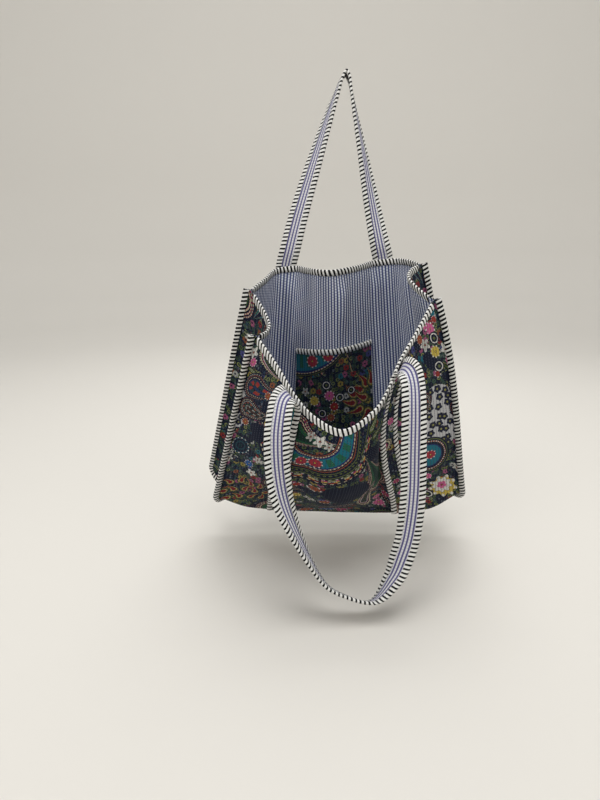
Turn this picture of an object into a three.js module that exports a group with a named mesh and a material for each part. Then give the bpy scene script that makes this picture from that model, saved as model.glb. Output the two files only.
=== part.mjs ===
// Quilted cotton tote bag, hanging open by its back strap.
// One length of quilted cloth makes the front, base and back, and a folded gusset closes each end. Every
// raw edge is bound in striped tape: the four rims, the standing seam round each gusset, the pocket's top
// and both edges of each strap. The front strap has flopped over the front rim.
// Millimetres, +Z up, +Y towards the wall. The origin is the underside of the back strap where it hangs.
import * as THREE from "three";

// Cloth and tape
const PANEL_WIDTH = 406;
const PANEL_HEIGHT = 333;
const CLOTH = 2.4;
const BOUND_CLOTH = 1.6;
const TAPE = 0.8;
const GAP = 0.35;
const RIM_COVER = 8;
const SEAM_FIN = 9.5;
const SEAM_LIP = 2.5;
const CORNER_CLEAR = 0.008;
const SEAM_ROOM = 0.3;

// Straps
const STRAP_WIDTH = 32;
const STRAP_COVER = 8.5;
const BAND = 1.8;
const SEWN_GAP = 0.9;
const STRAP_AT = [0.246, 0.754];
const SEWN_FROM = 0.985;
const RIM_STEP = 0.1;

// Pocket on the inside of the back
const POCKET_CLOTH = 1.8;
const POCKET_LEFT = 0.328;
const POCKET_RIGHT = 0.672;
const POCKET_TOP = [0.378, 0.352];
const POCKET_FOOT = 0.8;
const POCKET_ROWS = [0, 0.075, 0.2, 0.4, 0.6, 0.8, 1];

// Mesh steps
const ROWS_ON_PANEL = 12;
const FIRST_ROW = 10.6 / PANEL_HEIGHT;
const GUSSET_COLUMNS = 6;
const LOOP_STEPS = 25;

// Rim and foot lines of the long cloth, from its left edge (at 0) to its right edge (at 1)
const FRONT_RIM = [
  { at: 0.0, x: -128, y: -192, z: -370 },
  { at: 0.126, x: -100, y: -217, z: -405 },
  { at: 0.252, x: -74, y: -240, z: -443 },
  { at: 0.34, x: -51, y: -256, z: -465 },
  { at: 0.439, x: -15, y: -269, z: -479 },
  { at: 0.562, x: 26, y: -255, z: -456 },
  { at: 0.652, x: 46, y: -239, z: -429 },
  { at: 0.746, x: 61, y: -220, z: -400 },
  { at: 0.854, x: 83, y: -199, z: -368 },
  { at: 1.0, x: 112, y: -171, z: -324 },
];
const FRONT_FOOT = [
  { at: 0.0, x: -204, y: -75, z: -656 },
  { at: 0.14, x: -150, y: -82, z: -668 },
  { at: 0.5, x: -7, y: -90, z: -672 },
  { at: 0.86, x: 138, y: -92, z: -669 },
  { at: 1.0, x: 191, y: -86, z: -644 },
];
const BACK_FOOT = [
  { at: 0.0, x: -218, y: -24, z: -626 },
  { at: 0.5, x: -10, y: -12, z: -623 },
  { at: 1.0, x: 200, y: -22, z: -613 },
];
const BACK_RIM = [
  { at: 0.0, x: -141, y: -112, z: -314 },
  { at: 0.11, x: -122, y: -74, z: -299 },
  { at: 0.205, x: -107, y: -37, z: -286 },
  { at: 0.287, x: -75, y: -36, z: -282 },
  { at: 0.35, x: -61, y: -60, z: -284 },
  { at: 0.42, x: -46, y: -86, z: -286 },
  { at: 0.5, x: -24, y: -99, z: -287 },
  { at: 0.59, x: 4, y: -84, z: -283 },
  { at: 0.65, x: 24, y: -62, z: -279 },
  { at: 0.713, x: 45, y: -35, z: -274 },
  { at: 0.795, x: 77, y: -33, z: -271 },
  { at: 0.9, x: 95, y: -60, z: -272 },
  { at: 1.0, x: 108, y: -90, z: -278 },
];

// How far each upright line of the cloth swells out of the straight line from rim to foot, and how far the
// base sags. aside moves the front's lines to the right.
const SWELL = [
  { at: 0.0, front: 3, back: -9, sag: 16, aside: 0 },
  { at: 0.2, front: 32, back: 0, sag: 26, aside: -7 },
  { at: 0.45, front: 40, back: 6, sag: 30, aside: 0 },
  { at: 0.62, front: 38, back: 4, sag: 29, aside: -8 },
  { at: 0.75, front: 34, back: 2, sag: 26, aside: -24 },
  { at: 0.88, front: 26, back: -2, sag: 21, aside: -8 },
  { at: 1.0, front: 9, back: -6, sag: 16, aside: 5 },
];

// Upright folds in the cloth: middle, half width, depth (out is plus), and the stretch from rim to foot
const FRONT_FOLDS = [
  { at: 0.675, half: 0.03, depth: -13, from: 0.05, to: 1.0 },
  { at: 0.33, half: 0.04, depth: -7, from: 0.1, to: 0.8 },
  { at: 0.13, half: 0.05, depth: 6, from: 0.2, to: 0.95 },
  { at: 0.88, half: 0.05, depth: 7, from: 0.1, to: 0.95 },
];

// Gusset folds: how far the middle turns in and drops at the rim, half way and at the foot
const GUSSET_FOLD = {
  left: [
    { at: 0.0, inward: 22, drop: 16 },
    { at: 0.5, inward: 30, drop: 4 },
    { at: 1.0, inward: 22, drop: 16 },
  ],
  right: [
    { at: 0.0, inward: 26, drop: -6 },
    { at: 0.5, inward: 32, drop: 2 },
    { at: 1.0, inward: 22, drop: 16 },
  ],
};

// Direction of the standing seam, from front rim (at 0) round the foot to back rim (at 3), on the left
const FIN_LEAN = [
  { at: 0.0, x: -0.95, y: -0.27, z: 0.1 },
  { at: 0.9, x: -0.88, y: -0.42, z: -0.05 },
  { at: 1.5, x: -0.9, y: 0.0, z: -0.4 },
  { at: 2.1, x: -0.88, y: 0.42, z: -0.05 },
  { at: 3.0, x: -0.97, y: -0.1, z: 0.1 },
];

// Free loops of the straps. turn is the plan angle of the line across the strap, dip how far it slopes down.
const FRONT_LOOP = [
  { x: -84, y: -252, z: -437, turn: -42, dip: 40 },
  { x: -91, y: -268, z: -440, turn: -36, dip: 30 },
  { x: -95, y: -280, z: -456, turn: -18, dip: 14 },
  { x: -98, y: -287, z: -483, turn: -4, dip: 5 },
  { x: -97, y: -289, z: -525, turn: 10, dip: 0 },
  { x: -91, y: -290, z: -565, turn: 34, dip: 4 },
  { x: -78, y: -291, z: -603, turn: 58, dip: 14 },
  { x: -55, y: -292, z: -652, turn: 76, dip: 24 },
  { x: -34, y: -294, z: -684, turn: 84, dip: 28 },
  { x: -5, y: -294, z: -701, turn: 88, dip: 30 },
  { x: 26, y: -292, z: -708, turn: 104, dip: 30 },
  { x: 52, y: -288, z: -676, turn: 134, dip: 20 },
  { x: 63, y: -286, z: -646, turn: 152, dip: 10 },
  { x: 70, y: -285, z: -616, turn: 160, dip: 4 },
  { x: 74, y: -283, z: -565, turn: 172, dip: 0 },
  { x: 73, y: -280, z: -503, turn: 180, dip: 4 },
  { x: 72, y: -274, z: -449, turn: 192, dip: 10 },
  { x: 72, y: -263, z: -424, turn: 206, dip: 18 },
  { x: 70, y: -250, z: -410, turn: 218, dip: 30 },
  { x: 67, y: -236, z: -406, turn: 227, dip: 46 },
];
const BACK_LOOP = [
  { x: -85, y: -30, z: -256, turn: 174, dip: 0 },
  { x: -72, y: -25, z: -206, turn: 162, dip: 0 },
  { x: -57, y: -19, z: -156, turn: 148, dip: 0 },
  { x: -41.5, y: -13, z: -107, turn: 132, dip: 0 },
  { x: -26, y: -7, z: -60, turn: 116, dip: 0 },
  { x: -13, y: -3, z: -23, turn: 101, dip: 0 },
  { x: -7, y: -1, z: -7, turn: 95, dip: 0 },
  { x: 0, y: 0, z: 2, turn: 90, dip: 0 },
  { x: 5.5, y: -1, z: -7, turn: 87, dip: 0 },
  { x: 8.5, y: -3, z: -23, turn: 83, dip: 0 },
  { x: 16, y: -7, z: -60, turn: 73, dip: 0 },
  { x: 26, y: -12, z: -107, turn: 60, dip: 0 },
  { x: 36, y: -17, z: -156, turn: 44, dip: 0 },
  { x: 46, y: -22, z: -204, turn: 28, dip: 0 },
  { x: 56, y: -28, z: -249, turn: 10, dip: 0 },
];

const V = (x, y, z) => new THREE.Vector3(x, y, z);
const ACROSS = V(1, 0, 0);
const SIDES = { left: -1, right: 1 };

// A smooth curve through one column of a table
function through(rows, column, at) {
  const last = rows.length - 1;
  let i = 0;
  while (i < last - 1 && at > rows[i + 1].at) i += 1;
  const slope = (k) => {
    const a = rows[Math.max(k - 1, 0)];
    const b = rows[Math.min(k + 1, last)];
    return (b[column] - a[column]) / (b.at - a.at);
  };
  const [a, b] = [rows[i], rows[i + 1]];
  const span = b.at - a.at;
  const t = (at - a.at) / span;
  const rise = b[column] - a[column];
  const [m, n] = [slope(i) * span, slope(i + 1) * span];
  return a[column] + t * m + t * t * (3 * rise - 2 * m - n) + t * t * t * (m + n - 2 * rise);
}
const placeOn = (rows, at) => V(through(rows, "x", at), through(rows, "y", at), through(rows, "z", at));
const mix = (a, b, t) => a.clone().lerp(b, t);
const arch = (t) => 4 * t * (1 - t);
const belly = (t) => 5.38 * t * (1 - t) ** 1.5;
const shove = (t) => 6.75 * t * (1 - t) ** 2;
const ease = (t) => THREE.MathUtils.smoothstep(t, 0, 1);
const bend = (t) => 1 - Math.abs(2 * t - 1) ** 1.7;

// The long cloth. v runs from rim to foot on the front and back, w from front to back on the base.
function foldOut(u, v) {
  let out = 0;
  for (const fold of FRONT_FOLDS) {
    const share = (v - fold.from) / (fold.to - fold.from);
    const fade = share > 0 && share < 1 ? Math.sin(Math.PI * share) : 0;
    out += fold.depth * fade * Math.exp(-(((u - fold.at) / fold.half) ** 2));
  }
  return out;
}
function uprightLine(rim, foot, swell, v) {
  const out = foot.clone().sub(rim).cross(ACROSS).normalize();
  return mix(rim, foot, v).addScaledVector(out, swell);
}
function frontCloth(u, v) {
  const swell = through(SWELL, "front", u) * belly(v) + foldOut(u, v);
  const p = uprightLine(placeOn(FRONT_RIM, u), placeOn(FRONT_FOOT, u), swell, v);
  return p.addScaledVector(ACROSS, through(SWELL, "aside", u) * shove(v));
}
function backCloth(u, v) {
  const swell = -through(SWELL, "back", u) * arch(v);
  return uprightLine(placeOn(BACK_RIM, u), placeOn(BACK_FOOT, u), swell, v);
}
function baseCloth(u, w) {
  const p = mix(placeOn(FRONT_FOOT, u), placeOn(BACK_FOOT, u), w);
  const nearEnd = (2 * u - 1) ** 4;
  const inward = GUSSET_FOLD.left[2].inward * nearEnd * Math.sign(0.5 - u);
  return p.add(V(inward * bend(w), 0, -through(SWELL, "sag", u) * bend(w)));
}
// The whole length: s runs 0 to 1 down the front, 1 to 2 under the base and 2 to 3 up the back
function longCloth(u, s) {
  if (s <= 1) return frontCloth(u, s);
  return s < 2 ? baseCloth(u, s - 1) : backCloth(u, 3 - s);
}
function clothNormal(cloth, u, s, high) {
  const e = 0.004;
  const [u0, u1] = [Math.max(u - e, 0), Math.min(u + e, 1)];
  const [s0, s1] = [Math.max(s - e, 0), Math.min(s + e, high)];
  const du = cloth(u1, s).sub(cloth(u0, s));
  const ds = cloth(u, s1).sub(cloth(u, s0));
  return ds.cross(du).normalize();
}
const outOfLongCloth = (u, s) => clothNormal(longCloth, u, s, 3);

// The standing seam on one side: its line, the way it stands out, and the way to the gusset's layer, which
// is longer where the seam turns a corner so that the layers keep their thickness round it
function seam(side, s) {
  const u = side < 0 ? 0 : 1;
  const e = 0.01;
  const line = longCloth(u, s);
  const after = longCloth(u, Math.min(s, 3 - e) + e).sub(longCloth(u, Math.min(s, 3 - e))).normalize();
  const before = longCloth(u, Math.max(s, e)).sub(longCloth(u, Math.max(s, e) - e)).normalize();
  const along = before.clone().add(after).normalize();
  const lean = placeOn(FIN_LEAN, s);
  if (side > 0) lean.x *= -1;
  const out = lean.addScaledVector(along, -lean.dot(along)).normalize();
  const toGusset = along.clone().cross(out).multiplyScalar(-side / along.dot(after));
  return { line, out, toGusset };
}
const LAYER = (BOUND_CLOTH + GAP) / 2;
const FIN_HALF = BOUND_CLOTH + GAP / 2;

// A closed wall between two matching grids of points. Strips named by crossed take the other diagonal.
function wall(rows, crossed = () => false) {
  const [n, m] = [rows.length, rows[0].outer.length];
  const points = rows.flatMap((row) => [...row.outer, ...row.inner]);
  const outer = (i, j) => i * 2 * m + j;
  const inner = (i, j) => outer(i, j) + m;
  const index = [];
  const quad = (a, b, c, d) => index.push(a, b, c, a, c, d);
  const face = (j, a, b, c, d) => (crossed(j) ? quad(b, c, d, a) : quad(a, b, c, d));
  for (let i = 0; i < n - 1; i += 1) {
    for (let j = 0; j < m - 1; j += 1) {
      face(j, outer(i, j), outer(i, j + 1), outer(i + 1, j + 1), outer(i + 1, j));
      face(j, inner(i, j), inner(i + 1, j), inner(i + 1, j + 1), inner(i, j + 1));
    }
    quad(outer(i, 0), outer(i + 1, 0), inner(i + 1, 0), inner(i, 0));
    quad(outer(i, m - 1), inner(i, m - 1), inner(i + 1, m - 1), outer(i + 1, m - 1));
  }
  for (let j = 0; j < m - 1; j += 1) {
    quad(outer(0, j), inner(0, j), inner(0, j + 1), outer(0, j + 1));
    quad(outer(n - 1, j), outer(n - 1, j + 1), inner(n - 1, j + 1), inner(n - 1, j));
  }
  let volume = 0;
  for (let k = 0; k < index.length; k += 3) {
    const [a, b, c] = [points[index[k]], points[index[k + 1]], points[index[k + 2]]];
    volume += a.dot(b.clone().cross(c));
  }
  if (volume < 0) index.reverse();
  return new THREE.BufferGeometry().setFromPoints(points).setIndex(index);
}
// A row of cloth from its middle points, the normals there and its thickness
function clothRow(cells) {
  const side = (sign) => cells.map((c) => c.p.clone().addScaledVector(c.n, (sign * c.thick) / 2));
  return { outer: side(1), inner: side(-1) };
}
// A folded tape over an edge: out points past the edge, n through the cloth, half is the cloth's half height
function tapeRow(edge, out, n, half, cover, over) {
  const at = (a, b) => edge.clone().addScaledVector(out, a).addScaledVector(n, b);
  const [inside, outside] = [half + GAP, half + GAP + TAPE];
  const [tip, bottom] = [over + GAP + TAPE, over + GAP];
  return {
    outer: [at(-cover, outside), at(tip, outside), at(tip, -outside), at(-cover, -outside)],
    inner: [at(-cover, inside), at(bottom, inside), at(bottom, -inside), at(-cover, -inside)],
  };
}
const tape = (rows) => wall(rows, (j) => j === 0);

// Mesh lines: rows down the cloth and columns across it, with columns at the edges of the straps
const steps = (from, to, count) => Array.from({ length: count }, (_, i) => from + ((to - from) * i) / count);
const halfStrap = STRAP_WIDTH / PANEL_WIDTH / 2;
const PANEL_ROWS = [0, FIRST_ROW, ...steps(RIM_STEP, 1, ROWS_ON_PANEL - 2), 1];
const LONG_ROWS = [
  ...PANEL_ROWS,
  ...steps(1 + 1 / GUSSET_COLUMNS, 2, GUSSET_COLUMNS - 1),
  ...PANEL_ROWS.map((v) => 3 - v).reverse(),
];
const COLUMNS = [
  0,
  0.012,
  0.04,
  ...steps(0.09, STRAP_AT[0] - halfStrap, 2),
  ...steps(STRAP_AT[0] - halfStrap, STRAP_AT[0] + halfStrap, 2),
  ...steps(STRAP_AT[0] + halfStrap, STRAP_AT[1] - halfStrap, 11),
  ...steps(STRAP_AT[1] - halfStrap, STRAP_AT[1] + halfStrap, 2),
  ...steps(STRAP_AT[1] + halfStrap, 0.91, 2),
  0.91,
  0.96,
  0.988,
  1,
];

const parts = new THREE.Group();
const PRINT = { color: 0x23282f, roughness: 0.9, metalness: 0 };
const STRIPES = { color: 0xa9a7a2, roughness: 0.85, metalness: 0 };
const WEBBING = { color: 0xc9c9d6, roughness: 0.9, metalness: 0 };
function add(name, geometry, finish) {
  const mesh = new THREE.Mesh(geometry, new THREE.MeshStandardMaterial(finish));
  mesh.name = name;
  parts.add(mesh);
}

// Body: front, base and back in one length, its two long edges turned into the standing seams
function bodyFinCell(side, s) {
  const { line, out, toGusset } = seam(side, s);
  const p = line.addScaledVector(out, SEAM_FIN).addScaledVector(toGusset, -LAYER);
  return { p, n: toGusset.negate(), thick: BOUND_CLOTH };
}
function bodyCell(u, s) {
  const edge = Math.min(u, 1 - u);
  const n = outOfLongCloth(u, s);
  const bound = edge < 0.03 || Math.min(s, 3 - s) < 2 * FIRST_ROW;
  if (edge > 0) return { p: longCloth(u, s), n, thick: bound ? BOUND_CLOTH : CLOTH };
  const { line, toGusset } = seam(u < 0.5 ? -1 : 1, s);
  return { p: line.addScaledVector(toGusset, -LAYER), n: n.sub(toGusset).normalize(), thick: BOUND_CLOTH };
}
add(
  "body",
  wall(
    LONG_ROWS.map((s) =>
      clothRow([bodyFinCell(-1, s), ...COLUMNS.map((u) => bodyCell(u, s)), bodyFinCell(1, s)]),
    ),
    (j) => j === COLUMNS.length,
  ),
  PRINT,
);

// Gussets: the outer ring of each lies in the standing seam, the next ring on the seam line
function seamOnFacet(side, s) {
  const k = LONG_ROWS.findLastIndex((row, i) => row <= s && i < LONG_ROWS.length - 1);
  const [a, b] = [seam(side, LONG_ROWS[k]), seam(side, LONG_ROWS[k + 1])];
  const t = (s - LONG_ROWS[k]) / (LONG_ROWS[k + 1] - LONG_ROWS[k]);
  return {
    line: mix(a.line, b.line, t),
    out: mix(a.out, b.out, t),
    toGusset: mix(a.toGusset, b.toGusset, t),
  };
}
function gussetCloth(name, b, v) {
  const side = SIDES[name];
  const u = side < 0 ? 0 : 1;
  const p = mix(backCloth(u, v), frontCloth(u, v), b);
  const inward = through(GUSSET_FOLD[name], "inward", v) * -side;
  return p.add(V(inward * bend(b), 0, -through(GUSSET_FOLD[name], "drop", v) * bend(b)));
}
function gussetSeamAt(i, j, last) {
  const v = PANEL_ROWS[Math.min(i, last)];
  if (j >= GUSSET_COLUMNS) return i > last ? 1 : v;
  if (j <= 0) return i > last ? 2 : 3 - v;
  return 2 - j / GUSSET_COLUMNS;
}
function gussetCell(name, i, j) {
  const side = SIDES[name];
  const last = PANEL_ROWS.length - 1;
  const [jIn, iIn] = [THREE.MathUtils.clamp(j, 0, GUSSET_COLUMNS), Math.min(i, last)];
  const inRing = j < 0 || j > GUSSET_COLUMNS || i > last;
  const onSeam = j <= 0 || j >= GUSSET_COLUMNS || i >= last;
  if (onSeam) {
    let s = gussetSeamAt(i, j, last);
    const nearCorner = inRing && iIn === last && (jIn === 0 || jIn === GUSSET_COLUMNS);
    if (nearCorner && i === last) s += jIn === 0 ? CORNER_CLEAR : -CORNER_CLEAR;
    if (nearCorner && i > last && j === jIn) s += jIn === 0 ? -CORNER_CLEAR : CORNER_CLEAR;
    const { line, out, toGusset } = seamOnFacet(side, s);
    line.addScaledVector(out, inRing ? SEAM_FIN : 0).addScaledVector(toGusset, LAYER);
    if (inRing) return { p: line, n: toGusset, thick: BOUND_CLOTH };
    const inCloth = clothNormal((a, c) => gussetCloth(name, a, c), jIn / GUSSET_COLUMNS, PANEL_ROWS[iIn], 1);
    const n = inCloth.multiplyScalar(-side).add(toGusset).normalize();
    return { p: line, n, thick: BOUND_CLOTH };
  }
  const [b, v] = [j / GUSSET_COLUMNS, PANEL_ROWS[i]];
  const n = clothNormal((a, c) => gussetCloth(name, a, c), b, v, 1).multiplyScalar(-side);
  return { p: gussetCloth(name, b, v), n, thick: v < 2 * FIRST_ROW ? BOUND_CLOTH : CLOTH };
}
for (const name of Object.keys(SIDES)) {
  const rows = [];
  for (let i = 0; i <= PANEL_ROWS.length; i += 1) {
    const cells = [];
    for (let j = -1; j <= GUSSET_COLUMNS + 1; j += 1) cells.push(gussetCell(name, i, j));
    rows.push(clothRow(cells));
  }
  add(`gusset_${name}`, wall(rows, (j) => j === 0 || j === GUSSET_COLUMNS + 1), PRINT);
}

// Seam bindings: one tape on each side, down the front, under the foot and up the back
for (const [name, side] of Object.entries(SIDES)) {
  const rows = LONG_ROWS.map((s) => {
    const { line, out, toGusset } = seam(side, s);
    const edge = line.addScaledVector(out, SEAM_FIN);
    return tapeRow(edge, out, toGusset, FIN_HALF, SEAM_FIN - SEAM_LIP, SEAM_ROOM);
  });
  add(`seam_binding_${name}`, tape(rows), STRIPES);
}

// Rim bindings: each of the four top edges has its own tape
function rimRow(edge, below, n) {
  const out = edge.clone().sub(below).normalize();
  return tapeRow(edge, out, n, BOUND_CLOTH / 2, RIM_COVER, 0);
}
const rimColumns = COLUMNS.slice(1, -1);
add(
  "rim_binding_front",
  tape(rimColumns.map((u) => rimRow(frontCloth(u, 0), frontCloth(u, FIRST_ROW), outOfLongCloth(u, 0)))),
  STRIPES,
);
add(
  "rim_binding_back",
  tape(
    rimColumns
      .map((u) => rimRow(backCloth(u, 0), backCloth(u, FIRST_ROW), outOfLongCloth(u, 3)))
      .reverse(),
  ),
  STRIPES,
);
function gussetOnFacet(name, i, b) {
  const j = Math.min(Math.floor(b * GUSSET_COLUMNS), GUSSET_COLUMNS - 1);
  const [c, d] = [gussetCell(name, i, j), gussetCell(name, i, j + 1)];
  const t = b * GUSSET_COLUMNS - j;
  return { p: mix(c.p, d.p, t), n: mix(c.n, d.n, t).normalize() };
}
for (const name of Object.keys(SIDES)) {
  const spots = [0.11, ...steps(1 / GUSSET_COLUMNS, 1, GUSSET_COLUMNS - 1), 0.89];
  const rows = spots.map((b) => {
    const { p, n } = gussetOnFacet(name, 0, b);
    return rimRow(p, gussetOnFacet(name, 1, b).p, n);
  });
  add(`rim_binding_gusset_${name}`, tape(rows), STRIPES);
}

// Straps: sewn to the outside from the foot to the rim, then a free loop, then sewn down again.
// A row is the middle of the strap, its two edges, and the way that its lining side faces.
const SEWN_RISE = CLOTH / 2 + SEWN_GAP + TAPE + GAP + BAND / 2;
const OVER_RIM = TAPE + GAP;
function sewnRow(cloth, sOf, u, v, way) {
  const stretch = cloth(u + 0.01, v).sub(cloth(u - 0.01, v)).length() / 0.02;
  const rise = SEWN_RISE + OVER_RIM * (1 - ease(v / RIM_STEP - 0.3));
  const lifted = (a) => cloth(a, v).addScaledVector(outOfLongCloth(a, sOf(v)), rise);
  const half = STRAP_WIDTH / 2 / stretch;
  const middle = lifted(u);
  return {
    middle,
    edges: [lifted(u - way * half), lifted(u + way * half)],
    lining: outOfLongCloth(u, sOf(v)).negate(),
  };
}
function loopRows(table) {
  const points = table.map((row) => V(row.x, row.y, row.z));
  const line = new THREE.CatmullRomCurve3(points, false, "centripetal");
  const keys = table.map((row, i) => ({ ...row, at: i / (table.length - 1) }));
  return steps(0, 1, LOOP_STEPS)
    .concat(1)
    .map((t) => {
      const turn = THREE.MathUtils.degToRad(through(keys, "turn", t));
      const dip = THREE.MathUtils.degToRad(through(keys, "dip", t));
      const along = line.getTangent(t);
      const across = V(Math.cos(turn) * Math.cos(dip), Math.sin(turn) * Math.cos(dip), -Math.sin(dip));
      across.addScaledVector(along, -across.dot(along)).normalize();
      const middle = line.getPoint(t);
      const edge = (sign) => middle.clone().addScaledVector(across, (sign * STRAP_WIDTH) / 2);
      return { middle, edges: [edge(-1), edge(1)], lining: along.cross(across) };
    });
}
function strapRows(cloth, sOf, way, loop, sewnTo) {
  const climb = PANEL_ROWS.filter((v) => v >= sewnTo && v < SEWN_FROM).concat(SEWN_FROM);
  const up = [...climb].reverse().map((v) => sewnRow(cloth, sOf, STRAP_AT[0], v, way));
  const down = climb.map((v) => sewnRow(cloth, sOf, STRAP_AT[1], v, -way));
  return [...up, ...loopRows(loop), ...down];
}
const STRAPS = {
  front: strapRows(frontCloth, (v) => v, 1, FRONT_LOOP, FIRST_ROW),
  back: strapRows(backCloth, (v) => 3 - v, -1, BACK_LOOP, 0),
};
for (const [name, rows] of Object.entries(STRAPS)) {
  const band = rows.map(({ middle, edges, lining }) => {
    const from = (k, inset) => mix(edges[k], middle, inset / (STRAP_WIDTH / 2));
    const [bare, lip] = [GAP + TAPE, STRAP_COVER];
    const line = [from(0, bare), from(0, lip), from(1, lip), from(1, bare)];
    return clothRow(line.map((p) => ({ p, n: lining, thick: BAND })));
  });
  add(`strap_${name}`, wall(band, (j) => j === 2), WEBBING);
  ["start", "end"].forEach((label, k) => {
    const bound = rows.map(({ middle, edges, lining }) => {
      const out = edges[k].clone().sub(middle).normalize();
      const n = lining.clone().addScaledVector(out, -lining.dot(out)).normalize();
      return tapeRow(edges[k], out, n, BAND / 2, STRAP_COVER, -GAP - TAPE);
    });
    add(`strap_binding_${name}_${label}`, tape(bound), STRIPES);
  });
}

// Pocket: a patch on the inside of the back, with its own bound top
const POCKET_RISE = CLOTH / 2 + 2 * GAP + POCKET_CLOTH / 2;
function pocketCell(u, share) {
  const across = (u - POCKET_LEFT) / (POCKET_RIGHT - POCKET_LEFT);
  const top = THREE.MathUtils.lerp(...POCKET_TOP, across);
  const v = THREE.MathUtils.lerp(top, POCKET_FOOT, share);
  const n = outOfLongCloth(u, 3 - v);
  const lift = POCKET_RISE + (TAPE + GAP) * (1 - ease(4 * share));
  return { p: backCloth(u, v).addScaledVector(n, -lift), n, thick: POCKET_CLOTH };
}
const pocketColumns = [
  POCKET_LEFT,
  ...COLUMNS.filter((u) => u > POCKET_LEFT + 0.01 && u < POCKET_RIGHT - 0.01),
  POCKET_RIGHT,
].reverse();
add(
  "pocket",
  wall(POCKET_ROWS.map((share) => clothRow(pocketColumns.map((u) => pocketCell(u, share))))),
  PRINT,
);
add(
  "pocket_binding",
  tape(
    pocketColumns.map((u) => {
      const { p, n } = pocketCell(u, POCKET_ROWS[0]);
      const out = p.clone().sub(pocketCell(u, POCKET_ROWS[1]).p).normalize();
      return tapeRow(p, out, n, POCKET_CLOTH / 2, RIM_COVER, 0);
    }),
  ),
  STRIPES,
);

export default parts;
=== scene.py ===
import math

import bpy
import numpy as np
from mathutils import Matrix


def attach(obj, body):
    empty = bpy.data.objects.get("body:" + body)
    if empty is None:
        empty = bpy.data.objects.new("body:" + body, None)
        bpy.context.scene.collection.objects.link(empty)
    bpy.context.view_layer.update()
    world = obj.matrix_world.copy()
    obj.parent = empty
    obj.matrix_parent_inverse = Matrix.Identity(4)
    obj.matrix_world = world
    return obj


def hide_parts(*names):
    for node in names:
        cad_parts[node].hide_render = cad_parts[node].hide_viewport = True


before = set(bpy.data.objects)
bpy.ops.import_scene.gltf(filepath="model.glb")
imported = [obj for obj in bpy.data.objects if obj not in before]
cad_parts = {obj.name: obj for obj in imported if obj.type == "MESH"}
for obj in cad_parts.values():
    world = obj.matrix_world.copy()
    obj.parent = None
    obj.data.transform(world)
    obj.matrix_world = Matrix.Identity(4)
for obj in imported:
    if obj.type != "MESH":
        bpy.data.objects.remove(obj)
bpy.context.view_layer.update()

# Body: one length of quilted cloth that is the front, the base and the back of the bag. It is printed cotton
# outside and striped cotton inside over thin wadding, quilted by hand in upright rows 5 mm apart.
# Places are in millimetres. u runs from the left edge (0) to the right edge (1), and s from the front rim (0)
# by the front foot (1) and the back foot (2) to the back rim (3).
panel_width = 406.0
panel_height = 333.0
base_depth = 80.0
cloth = 2.4
bound_cloth = 1.6
quilt_rows = 81
row_gap = panel_width / quilt_rows
front_rim = [
    (0.0, -128, -192, -370),
    (0.126, -100, -217, -405),
    (0.252, -74, -240, -443),
    (0.34, -51, -256, -465),
    (0.439, -15, -269, -479),
    (0.562, 26, -255, -456),
    (0.652, 46, -239, -429),
    (0.746, 61, -220, -400),
    (0.854, 83, -199, -368),
    (1.0, 112, -171, -324),
]
front_foot = [
    (0.0, -204, -75, -656),
    (0.14, -150, -82, -668),
    (0.5, -7, -90, -672),
    (0.86, 138, -92, -669),
    (1.0, 191, -86, -644),
]
back_foot = [(0.0, -218, -24, -626), (0.5, -10, -12, -623), (1.0, 200, -22, -613)]
back_rim = [
    (0.0, -141, -112, -314),
    (0.11, -122, -74, -299),
    (0.205, -107, -37, -286),
    (0.287, -75, -36, -282),
    (0.35, -61, -60, -284),
    (0.42, -46, -86, -286),
    (0.5, -24, -99, -287),
    (0.59, 4, -84, -283),
    (0.65, 24, -62, -279),
    (0.713, 45, -35, -274),
    (0.795, 77, -33, -271),
    (0.9, 95, -60, -272),
    (1.0, 108, -90, -278),
]
# place across, swell of the front and of the back, sag of the base, drift of the front to the right
swell_table = [
    (0.0, 3, -9, 16, 0),
    (0.2, 32, 0, 26, -7),
    (0.45, 40, 6, 30, 0),
    (0.62, 38, 4, 29, -8),
    (0.75, 34, 2, 26, -24),
    (0.88, 26, -2, 21, -8),
    (1.0, 9, -6, 16, 5),
]
# place across, half width, depth, and the stretch from rim to foot of each upright fold in the front
front_folds = [
    (0.675, 0.03, -13, 0.05, 1.0),
    (0.33, 0.04, -7, 0.1, 0.8),
    (0.13, 0.05, 6, 0.2, 0.95),
    (0.88, 0.05, 7, 0.1, 0.95),
]


def through(table, at):
    """A smooth curve through the rows of a table, whose first column is the place along it."""
    table = np.array(table, float)
    place, value = table[:, 0], table[:, 1:]
    at = np.asarray(at, float)
    i = np.clip(np.searchsorted(place, at) - 1, 0, len(place) - 2)
    before = np.maximum(np.arange(len(place)) - 1, 0)
    after = np.minimum(np.arange(len(place)) + 1, len(place) - 1)
    slope = (value[after] - value[before]) / (place[after] - place[before])[:, None]
    span = (place[i + 1] - place[i])[..., None]
    t = (at - place[i])[..., None] / span
    rise = value[i + 1] - value[i]
    m, n = slope[i] * span, slope[i + 1] * span
    return value[i] + t * m + t**2 * (3 * rise - 2 * m - n) + t**3 * (m + n - 2 * rise)


def unit(v):
    return v / np.maximum(np.linalg.norm(v, axis=-1, keepdims=True), 1e-9)


def eased(t):
    """From 0 to 1 with a soft start and a soft stop."""
    return t * t * (3 - 2 * t)


def upright(rim, foot, v, swell):
    out = unit(np.cross(foot - rim, [1.0, 0.0, 0.0]))
    return rim + (foot - rim) * v[..., None] + out * swell[..., None]


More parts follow.
